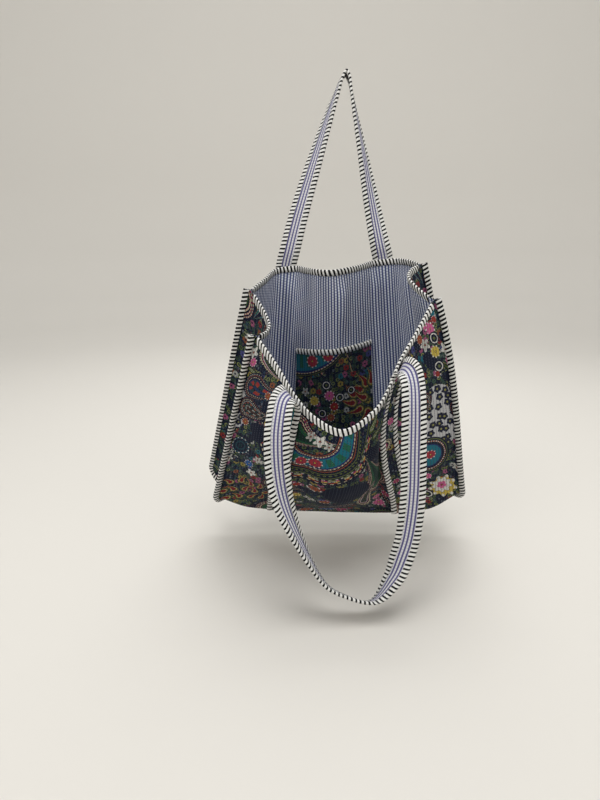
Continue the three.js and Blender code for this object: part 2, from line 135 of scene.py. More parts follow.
def creased_cloth(u, s):
    swell = through(swell_table, u)
    v = np.clip(s, 0, 1)
    # the belly is fullest (1) at two fifths of the height, and the drift at a third
    belly = 5.38 * v * (1 - v) ** 1.5
    drift = 6.75 * v * (1 - v) ** 2
    fold = np.zeros_like(v)
    for at, half, depth, start, stop in front_folds:
        fade = np.sin(np.pi * np.clip((v - start) / (stop - start), 0, 1))
        fold = fold + depth * fade * np.exp(-(((u - at) / half) ** 2))
    front = upright(through(front_rim, u), through(front_foot, u), v, swell[..., 0] * belly + fold)
    front[..., 0] += swell[..., 3] * drift
    w = np.clip(s - 1, 0, 1)
    bend = 1 - np.abs(2 * w - 1) ** 1.7
    base = through(front_foot, u) * (1 - w)[..., None] + through(back_foot, u) * w[..., None]
    base[..., 0] += 22 * (2 * u - 1) ** 4 * np.sign(0.5 - u) * bend
    base[..., 2] -= swell[..., 2] * bend
    v = np.clip(3 - s, 0, 1)
    back = upright(through(back_rim, u), through(back_foot, u), v, -swell[..., 1] * 4 * v * (1 - v))
    return np.where((s <= 1)[..., None], front, np.where((s < 2)[..., None], base, back))


fold_at = [0, panel_height, panel_height + base_depth, 2 * panel_height + base_depth]


def long_cloth(u, s):
    """The middle of the cloth, with the two foot folds rounded off."""
    u, s = np.broadcast_arrays(np.asarray(u, float), np.asarray(s, float))
    length = np.interp(s, [0, 1, 2, 3], fold_at)
    soft = np.mean(
        [creased_cloth(u, np.interp(length + d, fold_at, [0, 1, 2, 3])) for d in (-7, -3.5, 0, 3.5, 7)],
        axis=0,
    )
    near_fold = np.clip(3 - 8 * np.minimum(np.abs(s - 1), np.abs(s - 2)), 0, 1)[..., None]
    return creased_cloth(u, s) * (1 - near_fold) + soft * near_fold


def out_of(surface, a, b, high):
    """The unit normal of a surface, from its second way to its first."""
    e = 0.004
    a, b = np.broadcast_arrays(np.asarray(a, float), np.asarray(b, float))
    da = surface(np.minimum(a + e, 1), b) - surface(np.maximum(a - e, 0), b)
    db = surface(a, np.minimum(b + e, high)) - surface(a, np.maximum(b - e, 0))
    return unit(np.cross(db, da))


# The two long edges of the body turn out into the seams that stand round the gussets. The cloth ends inside
# the tape, and the middle of either cloth lies one layer from the seam's line.
seam_fin = 9.5
seam_cloth = 5.0
layer = 0.98
fin_lean = [
    (0.0, -0.95, -0.27, 0.1),
    (0.9, -0.88, -0.42, -0.05),
    (1.5, -0.9, 0.0, -0.4),
    (2.1, -0.88, 0.42, -0.05),
    (3.0, -0.97, -0.1, 0.1),
]


def seam(side, s):
    """The line of a standing seam, the way that it stands out and the way to the gusset's layer."""
    u = np.full_like(s, 0.0 if side < 0 else 1.0)
    line = long_cloth(u, s)
    step = 0.02
    along = unit(long_cloth(u, np.minimum(s + step, 3)) - long_cloth(u, np.maximum(s - step, 0)))
    lean = through(fin_lean, s) * [-side, 1, 1]
    out = unit(lean - along * np.sum(lean * along, axis=-1, keepdims=True))
    return line, out, np.cross(along, out) * -side


def quilting(x, bound):
    """How far the wadding lifts the cloth between the rows, less where tape presses it."""
    return (0.55 * np.abs(np.sin(np.pi * x / row_gap)) ** 0.7 - 0.1) * (1 - bound)


def crumple(x, y):
    """Shallow hollows all over the cloth."""
    slow = np.sin(x / 31 + 1.7 * np.sin(y / 57)) * np.sin(y / 43 + 1.3 * np.sin(x / 61))
    quick = np.sin(x / 13 + 2.0 * np.sin(y / 29)) * np.sin(y / 17 + 0.8)
    return 0.55 * slow + 0.2 * quick


def sheet_mesh(name, points, uv, flipped=False):
    """A mesh piece from a grid of points in millimetres and the place of each on the flat cloth."""
    rows, columns = points.shape[:2]
    index = np.arange(rows * columns).reshape(rows, columns)
    corners = [index[:-1, :-1], index[1:, :-1], index[1:, 1:], index[:-1, 1:]]
    faces = np.stack(corners[::-1] if flipped else corners, axis=-1).reshape(-1, 4)
    mesh = bpy.data.meshes.new(name)
    mesh.from_pydata((points.reshape(-1, 3) * 0.001).tolist(), [], faces.tolist())
    layer_uv = mesh.uv_layers.new(name="flat cloth")
    layer_uv.data.foreach_set("uv", uv.reshape(-1, 2)[faces.ravel()].astype(np.float32).ravel())
    mesh.shade_smooth()
    piece = bpy.data.objects.new(name, mesh)
    bpy.context.scene.collection.objects.link(piece)
    return piece


def finish_piece(piece, finish, slot, *nodes):
    piece.data.materials.clear()
    piece.data.materials.append(finish)
    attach(piece, "root")
    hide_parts(*nodes)


body_s = np.concatenate([np.linspace(0, 1, 85), np.linspace(1, 2, 21)[1:], np.linspace(2, 3, 85)[1:]])
body_u = np.linspace(0, 1, 3 * quilt_rows + 1)
grid_u, grid_s = np.meshgrid(body_u, body_s)
middle = long_cloth(grid_u, grid_s)
outward = out_of(long_cloth, grid_u, grid_s, 3)
cloth_x = grid_u * panel_width
cloth_y = np.interp(grid_s, [0, 1, 2, 3], fold_at)
to_edge = np.minimum(cloth_x, panel_width - cloth_x)
to_rim = np.minimum(cloth_y, fold_at[3] - cloth_y)
bound = np.clip(np.maximum(1 - (to_edge - 3) / 9, 1 - (to_rim - 9) / 8), 0, 1)
middle = middle + outward * (crumple(cloth_x, cloth_y) * (1 - bound))[..., None]
half = (cloth + (bound_cloth - cloth) * bound) / 2
fins = {}
for side, edge in ((-1, 0), (1, -1)):
    line, out, to_gusset = seam(side, body_s)
    pull = np.clip(1 - (cloth_x if side < 0 else panel_width - cloth_x) / 5, 0, 1)[..., None]
    middle = middle - to_gusset[:, None, :] * layer * pull
    outward = unit(outward - to_gusset[:, None, :] * pull)
    fins[side] = line + out * seam_cloth - to_gusset * layer, -to_gusset


def askew(x, y):
    """The print lies askew on the front: its rows run level there when the bag hangs open."""
    drop = 97 - 0.85 * (np.sqrt((x - 178) ** 2 + 22**2) - 22)
    return y + drop * (1 - eased(np.clip((y - panel_height) / 260, 0, 1)))


# The lining of the back stands off in soft upright folds, which end over the pocket.
# place across, half width, depth, and the place down the back where the fold ends
lining_folds = [
    (0.265, 0.02, 4.5, 0.8),
    (0.55, 0.032, 5.5, 0.33),
    (0.725, 0.02, 4.5, 0.8),
    (0.87, 0.03, 4.5, 0.7),
]
stand_off = np.zeros_like(grid_u)
down_back = 3 - grid_s
for at, wide, depth, stop in lining_folds:
    fade = np.clip((down_back - 0.03) / 0.09, 0, 1) * np.clip((stop - down_back) / 0.16, 0, 1)
    stand_off += depth * eased(fade) * np.exp(-(((grid_u - at) / wide) ** 2))


def body_face(way, lift=0.0):
    """The printed side (way 1) or the lining side (way -1) of the body."""
    thick = half + quilting(cloth_x, bound) + lift + (stand_off if way < 0 else 0)
    return middle + outward * (way * thick)[..., None]


def body_skin(name, way):
    skin = body_face(way)
    left, right = (fins[side][0] + fins[side][1] * way * bound_cloth / 2 for side in (-1, 1))
    points = np.concatenate([left[:, None], skin, right[:, None]], axis=1)
    across = [cloth_x[:, :1] - seam_cloth, cloth_x, cloth_x[:, -1:] + seam_cloth]
    across = np.concatenate(across, axis=1)
    down = np.concatenate([cloth_y[:, :1], cloth_y, cloth_y[:, :1]], axis=1)
    if way > 0:
        down = askew(across, down)
    return sheet_mesh(name, points, np.stack([across, down], axis=-1), flipped=way < 0)


# Printed cotton: a close traditional print of drops, bands and small flowers on a near-black blue. Each motif
# is a group of nodes that paints itself over what lies under it, and the drops and flowers repeat.
repeat = (406.0, 700.0)


def tint(code):
    """A colour for the shader from its usual hexadecimal code."""
    parts = [int(code[i : i + 2], 16) / 255 for i in (0, 2, 4)]
    return tuple(c / 12.92 if c <= 0.04045 else ((c + 0.055) / 1.055) ** 2.4 for c in parts) + (1.0,)


night = tint("12182b")
teal = tint("1d6577")
moss = tint("23432f")
navy = tint("1d2a5c")
olive = tint("5c6636")
cream = tint("bfb598")
chalk = tint("c9c8c3")
ash = tint("a5a49e")
pink = tint("bd5c88")
rose = tint("93365a")
brick = tint("8f2d28")
ruby = tint("97303d")
wine = tint("6f1c22")
rust = tint("8a4a32")
umber = tint("3c2a24")
corn = tint("b9a44a")
clear = (0.0, 0.0, 0.0, 0.0)


def feed(tree, socket, value):
    if isinstance(value, bpy.types.NodeSocket):
        tree.links.new(value, socket)
    else:
        socket.default_value = value


def calc(tree, operation, *values):
    node = tree.nodes.new("ShaderNodeMath")
    node.operation = operation
    for socket, value in zip(node.inputs, values):
        feed(tree, socket, value)
    return node.outputs[0]


def vector_calc(tree, operation, *values):
    node = tree.nodes.new("ShaderNodeVectorMath")
    node.operation = operation
    for socket, value in zip(node.inputs, values):
        feed(tree, socket, value)
    return node.outputs["Value" if operation == "LENGTH" else "Vector"]


def lay_over(tree, share, under, over):
    node = tree.nodes.new("ShaderNodeMix")
    node.data_type = "RGBA"
    feed(tree, node.inputs[0], share)
    feed(tree, node.inputs[6], under)
    feed(tree, node.inputs[7], over)
    return node.outputs[2]


def stepped(tree, level, stops):
    """Flat bands of colour: each stop is the level where its colour starts."""
    node = tree.nodes.new("ShaderNodeValToRGB")
    node.color_ramp.interpolation = "CONSTANT"
    steps = node.color_ramp.elements
    while len(steps) < len(stops):
        steps.new(0.5)
    for step, (start, colour) in zip(steps, stops):
        step.position = start
        step.color = colour
    feed(tree, node.inputs[0], level)
    return node.outputs["Color"], node.outputs["Alpha"]


def split(tree, vector):
    node = tree.nodes.new("ShaderNodeSeparateXYZ")
    feed(tree, node.inputs[0], vector)
    return node.outputs[0], node.outputs[1]


def motif_tree(name, *inputs):
    """An empty motif: it takes the place on the cloth, its own sizes and the colour under it."""
    tree = bpy.data.node_groups.new(name, "ShaderNodeTree")
    for label, kind in (("Cloth", "Vector"), *inputs, ("Under", "Color")):
        tree.interface.new_socket(label, in_out="INPUT", socket_type=f"NodeSocket{kind}")
    tree.interface.new_socket("Colour", in_out="OUTPUT", socket_type="NodeSocketColor")
    given = tree.nodes.new("NodeGroupInput").outputs
    return tree, given


def close_motif(tree, colour):
    feed(tree, tree.nodes.new("NodeGroupOutput").inputs["Colour"], colour)
    return tree


def from_place(tree, cloth, place):
    """The way from a place of the print, by its nearest repeat."""
    away = vector_calc(tree, "SUBTRACT", cloth, place)
    reach = (repeat[0] / 2, repeat[1] / 2, 1.0)
    return vector_calc(tree, "WRAP", away, reach, tuple(-r for r in reach))


# A drop's levels run past 1 to this one, and are divided by it because a ramp ends at 1.
outermost = 1.25


def drop_motif(name, stops, *beaded):
    """A curled drop in nested bands. beaded are counts of beads with the bands, from level to level, that
    are broken into them."""
    sizes = [(label, "Float") for label in ("Turn", "Size", "Length", "Hand")]
    tree, given = motif_tree(name, ("Place", "Vector"), *sizes)
    turned = tree.nodes.new("ShaderNodeVectorRotate")
    turned.rotation_type = "Z_AXIS"
    feed(tree, turned.inputs["Vector"], from_place(tree, given["Cloth"], given["Place"]))
    feed(tree, turned.inputs["Angle"], given["Turn"])
    x, y = split(tree, turned.outputs[0])
    x = calc(tree, "DIVIDE", calc(tree, "MULTIPLY", x, given["Hand"]), given["Size"])
    y = calc(tree, "DIVIDE", y, given["Size"])
    y = calc(tree, "DIVIDE", y, given["Length"])
    to_tip = calc(tree, "MAXIMUM", y, 0.0)
    curl = calc(tree, "MULTIPLY", calc(tree, "MULTIPLY", to_tip, to_tip), 0.3)
    width = calc(tree, "MAXIMUM", calc(tree, "SUBTRACT", 1.0, calc(tree, "DIVIDE", to_tip, 2.2)), 0.002)
    x = calc(tree, "DIVIDE", calc(tree, "SUBTRACT", x, curl), calc(tree, "POWER", width, 0.8))
    y = calc(tree, "MINIMUM", y, 0.0)
    level = calc(tree, "SQRT", calc(tree, "MULTIPLY_ADD", x, x, calc(tree, "MULTIPLY", y, y)))
    angle = calc(tree, "ADD", calc(tree, "ARCTAN2", x, y), calc(tree, "MULTIPLY", to_tip, 1.3))
    level = calc(tree, "DIVIDE", level, outermost)
    colour, cover = stepped(tree, level, [(start / outermost, shade) for start, shade in stops])
    under = lay_over(tree, cover, given["Under"], colour)
    for count, bands in beaded:
        marks = {0.0: clear}
        for start, stop, shade in bands:
            marks.update({start / outermost: shade, stop / outermost: clear})
        colour, cover = stepped(tree, level, list(marks.items()))
        bead = calc(tree, "GREATER_THAN", calc(tree, "SINE", calc(tree, "MULTIPLY", angle, count)), 0.0)
        under = lay_over(tree, calc(tree, "MULTIPLY", cover, bead), under, colour)
    return close_motif(tree, under)


teal_bands = [
    (0.0, clear),
    (0.43, night),
    (0.46, rust),
    (0.48, night),
    (0.5, cream),
    (0.53, navy),
    (0.57, teal),
    (0.84, navy),
    (0.88, cream),
    (0.91, night),
    (0.95, rust),
    (0.975, night),
    (1.04, olive),
    (1.06, night),
    (1.18, clear),
]
dotted_edges = [(0.5, 0.53, tint("6e5148")), (0.88, 0.91, tint("735a4a")), (1.09, 1.13, olive)]
green_checks = [(0.6, 0.82, tint("235c48"))]
teal_drop = drop_motif("teal drop", teal_bands, (60.0, dotted_edges), (17.0, green_checks))
teal_sweep = drop_motif(
    "teal sweep",
    [
        (0.0, clear),
        (0.46, night),
        (0.5, cream),
        (0.515, navy),
        (0.54, teal),
        (0.86, navy),
        (0.89, cream),
        (0.907, night),
        (0.925, olive),
        (0.935, night),
        (0.95, clear),
    ],
    (110.0, [(0.5, 0.515, tint("6e5148")), (0.89, 0.907, tint("6e5148"))]),
    (36.0, green_checks),
)
echo_drop = drop_motif(
    "echo drop",
    [(0.0, clear), (0.8, night), (0.83, olive), (0.845, night), (1.06, clear)],
    (58.0, [(0.865, 0.895, ash), (0.99, 1.01, cream)]),
    (33.0, [(0.89, 0.93, rose), (0.93, 0.955, corn)]),
    (23.0, [(0.875, 0.91, olive), (0.91, 0.93, ash), (0.955, 0.98, brick)]),
)
green_drop = drop_motif(
    "green drop",
    [
        (0.0, tint("16302a")),
        (0.3, tint("21513a")),
        (0.56, night),
        (0.64, cream),
        (0.72, night),
        (0.8, rose),
        (0.86, night),
        (0.92, ash),
        (0.98, night),
        (1.1, clear),
    ],
    (26.0, [(0.5, 0.56, olive), (0.8, 0.86, cream)]),
    (36.0, [(0.64, 0.68, rose), (0.92, 0.98, rust)]),
)
red_drop = drop_motif(
    "red drop",
    [
        (0.0, tint("1a3052")),
        (0.12, night),
        (0.24, tint("1f3a3a")),
        (0.5, tint("1a3052")),
        (0.6, night),
        (0.86, rust),
        (0.9, night),
        (1.1, clear),
    ],
    (5.0, [(0.16, 0.24, rust), (0.24, 0.5, brick)]),
    (30.0, [(0.7, 0.76, cream), (0.95, 1.0, ash)]),
)
cream_drop = drop_motif(
    "cream drop",
    [(0.0, umber), (0.14, night), (0.3, moss), (0.38, night), (0.6, ash), (0.64, night), (1.08, clear)],
    (9.0, [(0.16, 0.26, ash), (0.42, 0.54, rust)]),
    (30.0, [(0.74, 0.82, cream), (0.92, 0.97, rust)]),
)
ribbon = drop_motif(
    "ribbon",
    [(0.0, night), (0.34, ash), (0.44, rose), (0.52, night), (0.62, cream), (0.7, night), (0.92, clear)],
    (30.0, [(0.06, 0.2, olive), (0.74, 0.84, cream)]),
)
flame = drop_motif(
    "flame",
    [(0.0, wine), (0.44, tint("9c8a45")), (0.72, night), (0.82, olive), (0.9, night), (1.0, clear)],
    (7.0, [(0.44, 0.52, ash)]),
)
leaf = drop_motif(
    "leaf",
    [(0.0, olive), (0.55, tint("33421f")), (0.8, night), (1.0, clear)],
    (20.0, [(0.2, 0.4, ash)]),
)


def flower_motif(name, petals, depth, stops):
    """A round flower from its middle (0) to its petals' tips (0.8). None is the petals' own colour."""
    tree, given = motif_tree(name, ("Place", "Vector"), ("Size", "Float"), ("Petal", "Color"))
    away = from_place(tree, given["Cloth"], given["Place"])
    x, y = split(tree, away)
    wave = calc(tree, "COSINE", calc(tree, "MULTIPLY", calc(tree, "ARCTAN2", x, y), petals))
    edge = calc(tree, "MULTIPLY", calc(tree, "MULTIPLY_ADD", wave, depth, 1 - depth), given["Size"])
    level = calc(tree, "MULTIPLY", calc(tree, "DIVIDE", vector_calc(tree, "LENGTH", away), edge), 0.8)
    colour, cover = stepped(tree, level, [(start, shade or night) for start, shade in stops])
    _, own = stepped(tree, level, [(start, clear if shade else night) for start, shade in stops])
    colour = lay_over(tree, own, colour, given["Petal"])
    tip = calc(tree, "MULTIPLY", calc(tree, "GREATER_THAN", wave, 0.45), own)
    tip = calc(tree, "MULTIPLY", calc(tree, "GREATER_THAN", level, 0.6), tip)
    colour = lay_over(tree, tip, colour, chalk)
    return close_motif(tree, lay_over(tree, cover, given["Under"], colour))


flower = flower_motif(
    "flower", 9.0, 0.12, [(0.0, corn), (0.1, night), (0.15, None), (0.76, night), (0.8, clear)]
)
blossom = flower_motif(
    "blossom", 5.0, 0.22, [(0.0, rust), (0.14, night), (0.2, None), (0.77, night), (0.8, clear)]
)
eye = flower_motif("eye", 1.0, 0.0, [(0.0, olive), (0.2, night), (0.5, chalk), (0.64, night), (0.8, clear)])
wheel = flower_motif(
    "wheel",
    14.0,
    0.05,
    [
        (0.0, tint("142b33")),
        (0.16, night),
        (0.3, tint("183a45")),
        (0.44, night),
        (0.66, None),
        (0.74, night),
        (0.8, clear),
    ],
)
fan = flower_motif(
    "fan",
    44.0,
    0.0,
    [
        (0.0, teal),
        (0.48, navy),
        (0.52, night),
        (0.61, None),
        (0.66, night),
        (0.71, olive),
        (0.74, night),
        (0.8, clear),
    ],
)
still = flower_motif("still", 3.0, 0.1, [(0.0, night), (0.8, clear)])


def scatter_motif(name, cell, share, petals, stops, ringed, heart):
    """Small flowers or rings strewn over the cloth: a share of the cells has one, in a random colour."""
    tree, given = motif_tree(name)
    cells = tree.nodes.new("ShaderNodeTexVoronoi")
    cells.voronoi_dimensions = "2D"
    cells.inputs["Scale"].default_value = 1 / cell
    cells.inputs["Randomness"].default_value = 0.7
    feed(tree, cells.inputs["Vector"], given["Cloth"])
    away = vector_calc(tree, "SUBTRACT", given["Cloth"], cells.outputs["Position"])
    x, y = split(tree, away)
    lots = tree.nodes.new("ShaderNodeSeparateColor")
    feed(tree, lots.inputs[0], cells.outputs["Color"])
    shade, _ = stepped(tree, lots.outputs[0], stops)
    wave = calc(tree, "COSINE", calc(tree, "MULTIPLY", calc(tree, "ARCTAN2", x, y), petals))
    edge = calc(tree, "MULTIPLY_ADD", wave, 0.05 * cell, 0.41 * cell)
    level = calc(tree, "DIVIDE", vector_calc(tree, "LENGTH", away), edge)
    chosen = calc(tree, "LESS_THAN", lots.outputs[1], share)
    mark = calc(tree, "LESS_THAN", level, 1.0)
    if ringed:
        mark = calc(tree, "LESS_THAN", calc(tree, "ABSOLUTE", calc(tree, "SUBTRACT", level, 0.78)), 0.2)
    under = lay_over(tree, calc(tree, "MULTIPLY", mark, chosen), given["Under"], shade)
    middle = calc(tree, "MULTIPLY", calc(tree, "LESS_THAN", level, 0.3), chosen)
    return close_motif(tree, lay_over(tree, middle, under, heart))


speck_shades = [
    (0.0, tint("222f40")),
    (0.3, tint("394537")),
    (0.5, tint("263c52")),
    (0.65, tint("4a3a3e")),
    (0.8, tint("5c626c")),
]
specks = scatter_motif("specks", 4.6, 0.5, 2.0, speck_shades, False, night)
ring_shades = [(0.0, tint("34473a")), (0.3, tint("586838")), (0.55, tint("385546")), (0.8, tint("7a824b"))]
rings = scatter_motif("rings", 8.0, 0.9, 1.0, ring_shades, True, tint("475338"))
posy_shades = [
    (0.0, tint("8f4d6c")),
    (0.2, tint("9b9c98")),
    (0.36, tint("7d2c2a")),
    (0.52, tint("8a7c3d")),
    (0.66, tint("1f5a68")),
    (0.8, tint("7b4a33")),
    (0.92, tint("45467c")),
]
posies = scatter_motif("posies", 12.0, 0.4, 6.0, posy_shades, False, night)
dark_flowers = scatter_motif("dark flowers", 14.5, 2.0, 5.0, [(0.0, tint("1a1d33"))], False, tint("8d8a4a"))
# Flames, low on the left and on the pocket: place across and down the print, turn of the tip in degrees, hand
low_flames = [
    (14, 258, 205, 1),
    (32, 252, 190, -1),
    (50, 256, 172, 1),
    (66, 262, 155, 1),
    (6, 280, 220, 1),
    (22, 278, 200, 1),
    (40, 276, 182, -1),
    (58, 280, 165, 1),
    (76, 286, 150, -1),
    (14, 300, 230, 1),
    (34, 300, 195, 1),
    (52, 302, 170, -1),
    (70, 308, 140, 1),
]
pocket_flames = [
    (220, -6, 222, 1),
    (208, 0, 250, -1),
    (206, 14, 280, -1),
    (230, -14, 190, 1),
    (240, -16, 165, 1),
    (218, 26, 310, -1),
    (232, 32, 345, -1),
    (226, 8, 262, -1),
]
# motif, place across and down the print, turn of its tip in degrees, size, length, hand
great_curl = [(echo_drop, 144, 108, 140, 92, 1.0, 1), (teal_drop, 144, 108, 150, 64, 1.0, 1)]
drops = [
    (green_drop, 110, 96, 40, 24, 1.1, 1),
    (green_drop, 262, 224, 180, 29, 1.3, 1),
    (ribbon, 238, 306, 184, 17, 2.5, -1),
    (ribbon, 30, -4, 36, 12, 2.1, 1),
    (leaf, 8, 20, 68, 4, 5.0, 1),
    (red_drop, 22, 46, 58, 22, 1.0, 1),
    (cream_drop, 18, 86, 62, 19, 1.1, 1),
    (cream_drop, 360, 62, 20, 14, 1.0, -1),
    *((flame, x, y, turn, 8, 0.85, hand) for x, y, turn, hand in low_flames),
    (leaf, 226, 94, 150, 6, 2.2, 1),
    (leaf, 236, 104, 140, 6, 2.2, -1),
    (teal_sweep, 110, -140, 180, 113, 1.0, 1),
    *((flame, x, y, turn, 9, 1.0, hand) for x, y, turn, hand in pocket_flames),
    (red_drop, 300, 300, 200, 24, 1.2, 1),
    (teal_drop, 310, 400, 20, 52, 1.0, -1),
    (cream_drop, 200, 330, 260, 20, 1.2, 1),
    (green_drop, 90, 360, 30, 24, 1.4, -1),
    (ribbon, 60, 440, 120, 18, 2.2, 1),
    (teal_drop, 20, 400, 0, 34, 1.1, 1),
    (red_drop, 330, 520, 150, 26, 1.2, -1),
    (cream_drop, 390, 470, 300, 20, 1.0, 1),
    (green_drop, 250, 520, 200, 24, 1.3, 1),
    (ribbon, 300, -60, 70, 14, 2.0, 1),
    (cream_drop, 330, 20, 160, 18, 1.1, 1),
    (green_drop, 300, 120, 10, 18, 1.3, 1),
    (red_drop, 78, 130, 200, 16, 1.2, 1),
    (cream_drop, 90, 240, 100, 18, 1.2, -1),
    (ribbon, 320, 220, 30, 12, 2.2, -1),
]
# motif, place, size, colour of the petals
flowers = [
    (still, 49, 120, 20, night),
    (still, 202, 240, 44, night),
    (still, 236, 136, 16, night),
    (still, 378, 4, 14, night),
    (flower, 7, 6, 9, pink),
    (blossom, 3, -10, 11, chalk),
    (flower, 52, 54, 7, rust),
    (flower, 18, 113, 8, rust),
    (wheel, 18, 165, 19, tint("1f5566")),
    (blossom, 1, 196, 9, ash),
    (blossom, 55, 178, 9, ash),
    (flower, 40, 197, 9, tint("24508a")),
    (blossom, 47, 218, 10, chalk),
    (flower, 128, 154, 11, ruby),
    (flower, 147, 153, 11, ruby),
    (blossom, 150, 113, 10, chalk),
    (blossom, 137, 105, 8, ash),
    (blossom, 162, 121, 7, ash),
    (blossom, 126, 227, 9, brick),
    (blossom, 151, 224, 11, rust),
    (flower, 128, 280, 10, corn),
    (blossom, 148, 282, 10, ash),
    (flower, 168, 276, 10, rust),
    (flower, 120, 398, 15, rose),
    (flower, 150, 404, 15, rust),
    (flower, 182, 402, 15, tint("24508a")),
    (flower, 206, 396, 13, rose),
    (flower, 268, 330, 14, pink),
    (flower, 282, 290, 10, rose),
    (flower, 262, 300, 9, pink),
    (flower, 396, -52, 6, brick),
    (flower, 395, -62, 7, teal),
    (flower, 375, -44, 9, pink),
    (flower, 385, -39, 10, pink),
    (eye, 390, -26, 9, chalk),
    (blossom, 371, -17, 10, ash),
    (flower, 360, -24, 8, rust),
    (flower, 389, -7, 10, corn),
    (eye, 392, 15, 9, chalk),
    (blossom, 388, 26, 6, brick),
    (fan, 358, 160, 36, rust),
    (flower, 362, 158, 10, ruby),
    (flower, 354, 206, 8, pink),
    (flower, 379, 236, 27, corn),
    (flower, 377, 233, 19, chalk),
    (blossom, 377, 233, 12, pink),
    (eye, 351, 255, 11, chalk),
    (flower, 136, -60, 12, ruby),
    (flower, 165, -69, 11, ruby),
    (eye, 161, -20, 8, chalk),
    (eye, 184, 2, 8, chalk),
    (eye, 153, 29, 8, chalk),
    (flower, 166, -2, 10, pink),
    (flower, 139, 7, 10, corn),
    (flower, 174, 17, 9, brick),
    (flower, 168, 36, 8, rust),
    (eye, 204, -8, 7, chalk),
    (eye, 238, 40, 8, chalk),
    (flower, 282, 24, 7, rose),
    (flower, 278, 62, 8, pink),
    (flower, 286, 150, 7, rose),
    (flower, 280, 600, 7, pink),
    (blossom, 276, 570, 7, ash),
    (flower, 118, 30, 9, rose),
    (blossom, 122, -8, 8, ash),
]


def flat_place(tree):
    node = tree.nodes.new("ShaderNodeUVMap")
    node.uv_map = "flat cloth"
    return node.outputs[0]


def weave_bump(tree, place):
    """The fine threads of the cotton."""
    threads = tree.nodes.new("ShaderNodeTexNoise")
    threads.inputs["Scale"].default_value = 1.6
    threads.inputs["Detail"].default_value = 2.0
    feed(tree, threads.inputs["Vector"], place)
    bump = tree.nodes.new("ShaderNodeBump")
    bump.inputs["Strength"].default_value = 0.5
    bump.inputs["Distance"].default_value = 0.0004
    feed(tree, bump.inputs["Height"], threads.outputs[0])
    return bump.outputs[0]


def cotton(name, rough=0.92):
    """A matt cotton: its material, nodes and shader, and the place on the flat cloth."""
    finish = bpy.data.materials.new(name)
    finish.use_nodes = True
    tree = finish.node_tree
    shader = tree.nodes["Principled BSDF"]
    shader.inputs["Roughness"].default_value = rough
    shader.inputs["Specular IOR Level"].default_value = 0.12
    shader.inputs["Sheen Weight"].default_value = 0.04
    shader.inputs["Sheen Roughness"].default_value = 0.5
    place = flat_place(tree)
    feed(tree, shader.inputs["Normal"], weave_bump(tree, place))
    return finish, tree, shader, place


def paint(tree, motif, place, under, **sizes):
    """Paints one motif. Its place hangs on the colour below by a hair, so motifs are worked out in turn."""
    if isinstance(under, bpy.types.NodeSocket):
        place = vector_calc(tree, "MULTIPLY_ADD", under, (1e-6, 1e-6, 0.0), place)
    node = tree.nodes.new("ShaderNodeGroup")
    node.node_tree = motif
    feed(tree, node.inputs["Cloth"], place)
    feed(tree, node.inputs["Under"], under)
    for label, value in sizes.items():
        feed(tree, node.inputs[label], value)
    return node.outputs["Colour"]


def paint_drops(tree, place, colour, rows):
    for motif, x, y, turn, size, length, hand in rows:
        sizes = {"Turn": math.radians(turn), "Size": float(size), "Length": length, "Hand": float(hand)}
        colour = paint(tree, motif, place, colour, Place=(x, y, 0.0), **sizes)
    return colour


def within(tree, place, middle, reach):
    """Whether the place lies in an oval of the print."""
    away = from_place(tree, place, (*middle, 0.0))
    away = vector_calc(tree, "MULTIPLY", away, (1 / reach[0], 1 / reach[1], 0.0))
    return calc(tree, "LESS_THAN", vector_calc(tree, "LENGTH", away), 1.0)


printed_cotton, tree, shader, place = cotton("printed cotton")
ground = paint(tree, specks, place, night)
strewn = paint(tree, posies, place, paint(tree, rings, place, ground))
drift = tree.nodes.new("ShaderNodeTexNoise")
drift.inputs["Scale"].default_value = 0.022
drift.inputs["Detail"].default_value = 1.0
feed(tree, drift.inputs["Vector"], place)
colour = lay_over(tree, calc(tree, "GREATER_THAN", drift.outputs[0], 0.44), ground, strewn)
in_patch = within(tree, place, (385.0, 96.0), (37.0, 54.0))
colour = lay_over(tree, in_patch, colour, paint(tree, dark_flowers, place, tint("b4b4b6")))
colour = paint_drops(tree, place, colour, great_curl)
# A field of strewn flowers ends the great curl. The pocket is cut from it.
in_field = within(tree, place, (180.0, 20.0), (92.0, 60.0))
colour = lay_over(tree, in_field, colour, strewn)
colour = paint_drops(tree, place, colour, drops)
for motif, x, y, size, petal in flowers:
    colour = paint(tree, motif, place, colour, Place=(x, y, 0.0), Size=float(size), Petal=petal)
across, down = split(tree, place)
# Painted shade: the print darkens towards its ground colour along each quilting row, where the cloth dips
# between the wadded ridges.
lane = calc(tree, "FRACT", calc(tree, "DIVIDE", across, row_gap))
dip = calc(tree, "ABSOLUTE", calc(tree, "SUBTRACT", lane, 0.5))
row_valley_shade = calc(tree, "MULTIPLY", calc(tree, "GREATER_THAN", dip, 0.4), 0.4)
feed(tree, shader.inputs["Base Color"], lay_over(tree, row_valley_shade, colour, night))

body_print = body_skin("body_print", 1)
finish_piece(body_print, printed_cotton, "printed_cloth", "body")

# Lining: striped cotton on the inside of the body, white with a slate blue line between every two quilting
# rows, with painted shade where the stitches dip and in broad darker upright bands that stand for soft folds.
striped_cotton, tree, shader, place = cotton("striped cotton")


def stitch_pit_shade(tree, across, down):
    """Painted shade where the cloth dips between the stitches of a row: how dark it is. Every other row lies
    half a stitch on.
    """
    row = calc(tree, "ROUND", calc(tree, "DIVIDE", across, row_gap))
    shift = calc(tree, "MULTIPLY", calc(tree, "MODULO", row, 2.0), 0.5)
    step = calc(tree, "FRACT", calc(tree, "ADD", calc(tree, "DIVIDE", down, 4.0), shift))
    return calc(tree, "MULTIPLY", calc(tree, "LESS_THAN", step, 0.36), 0.55)


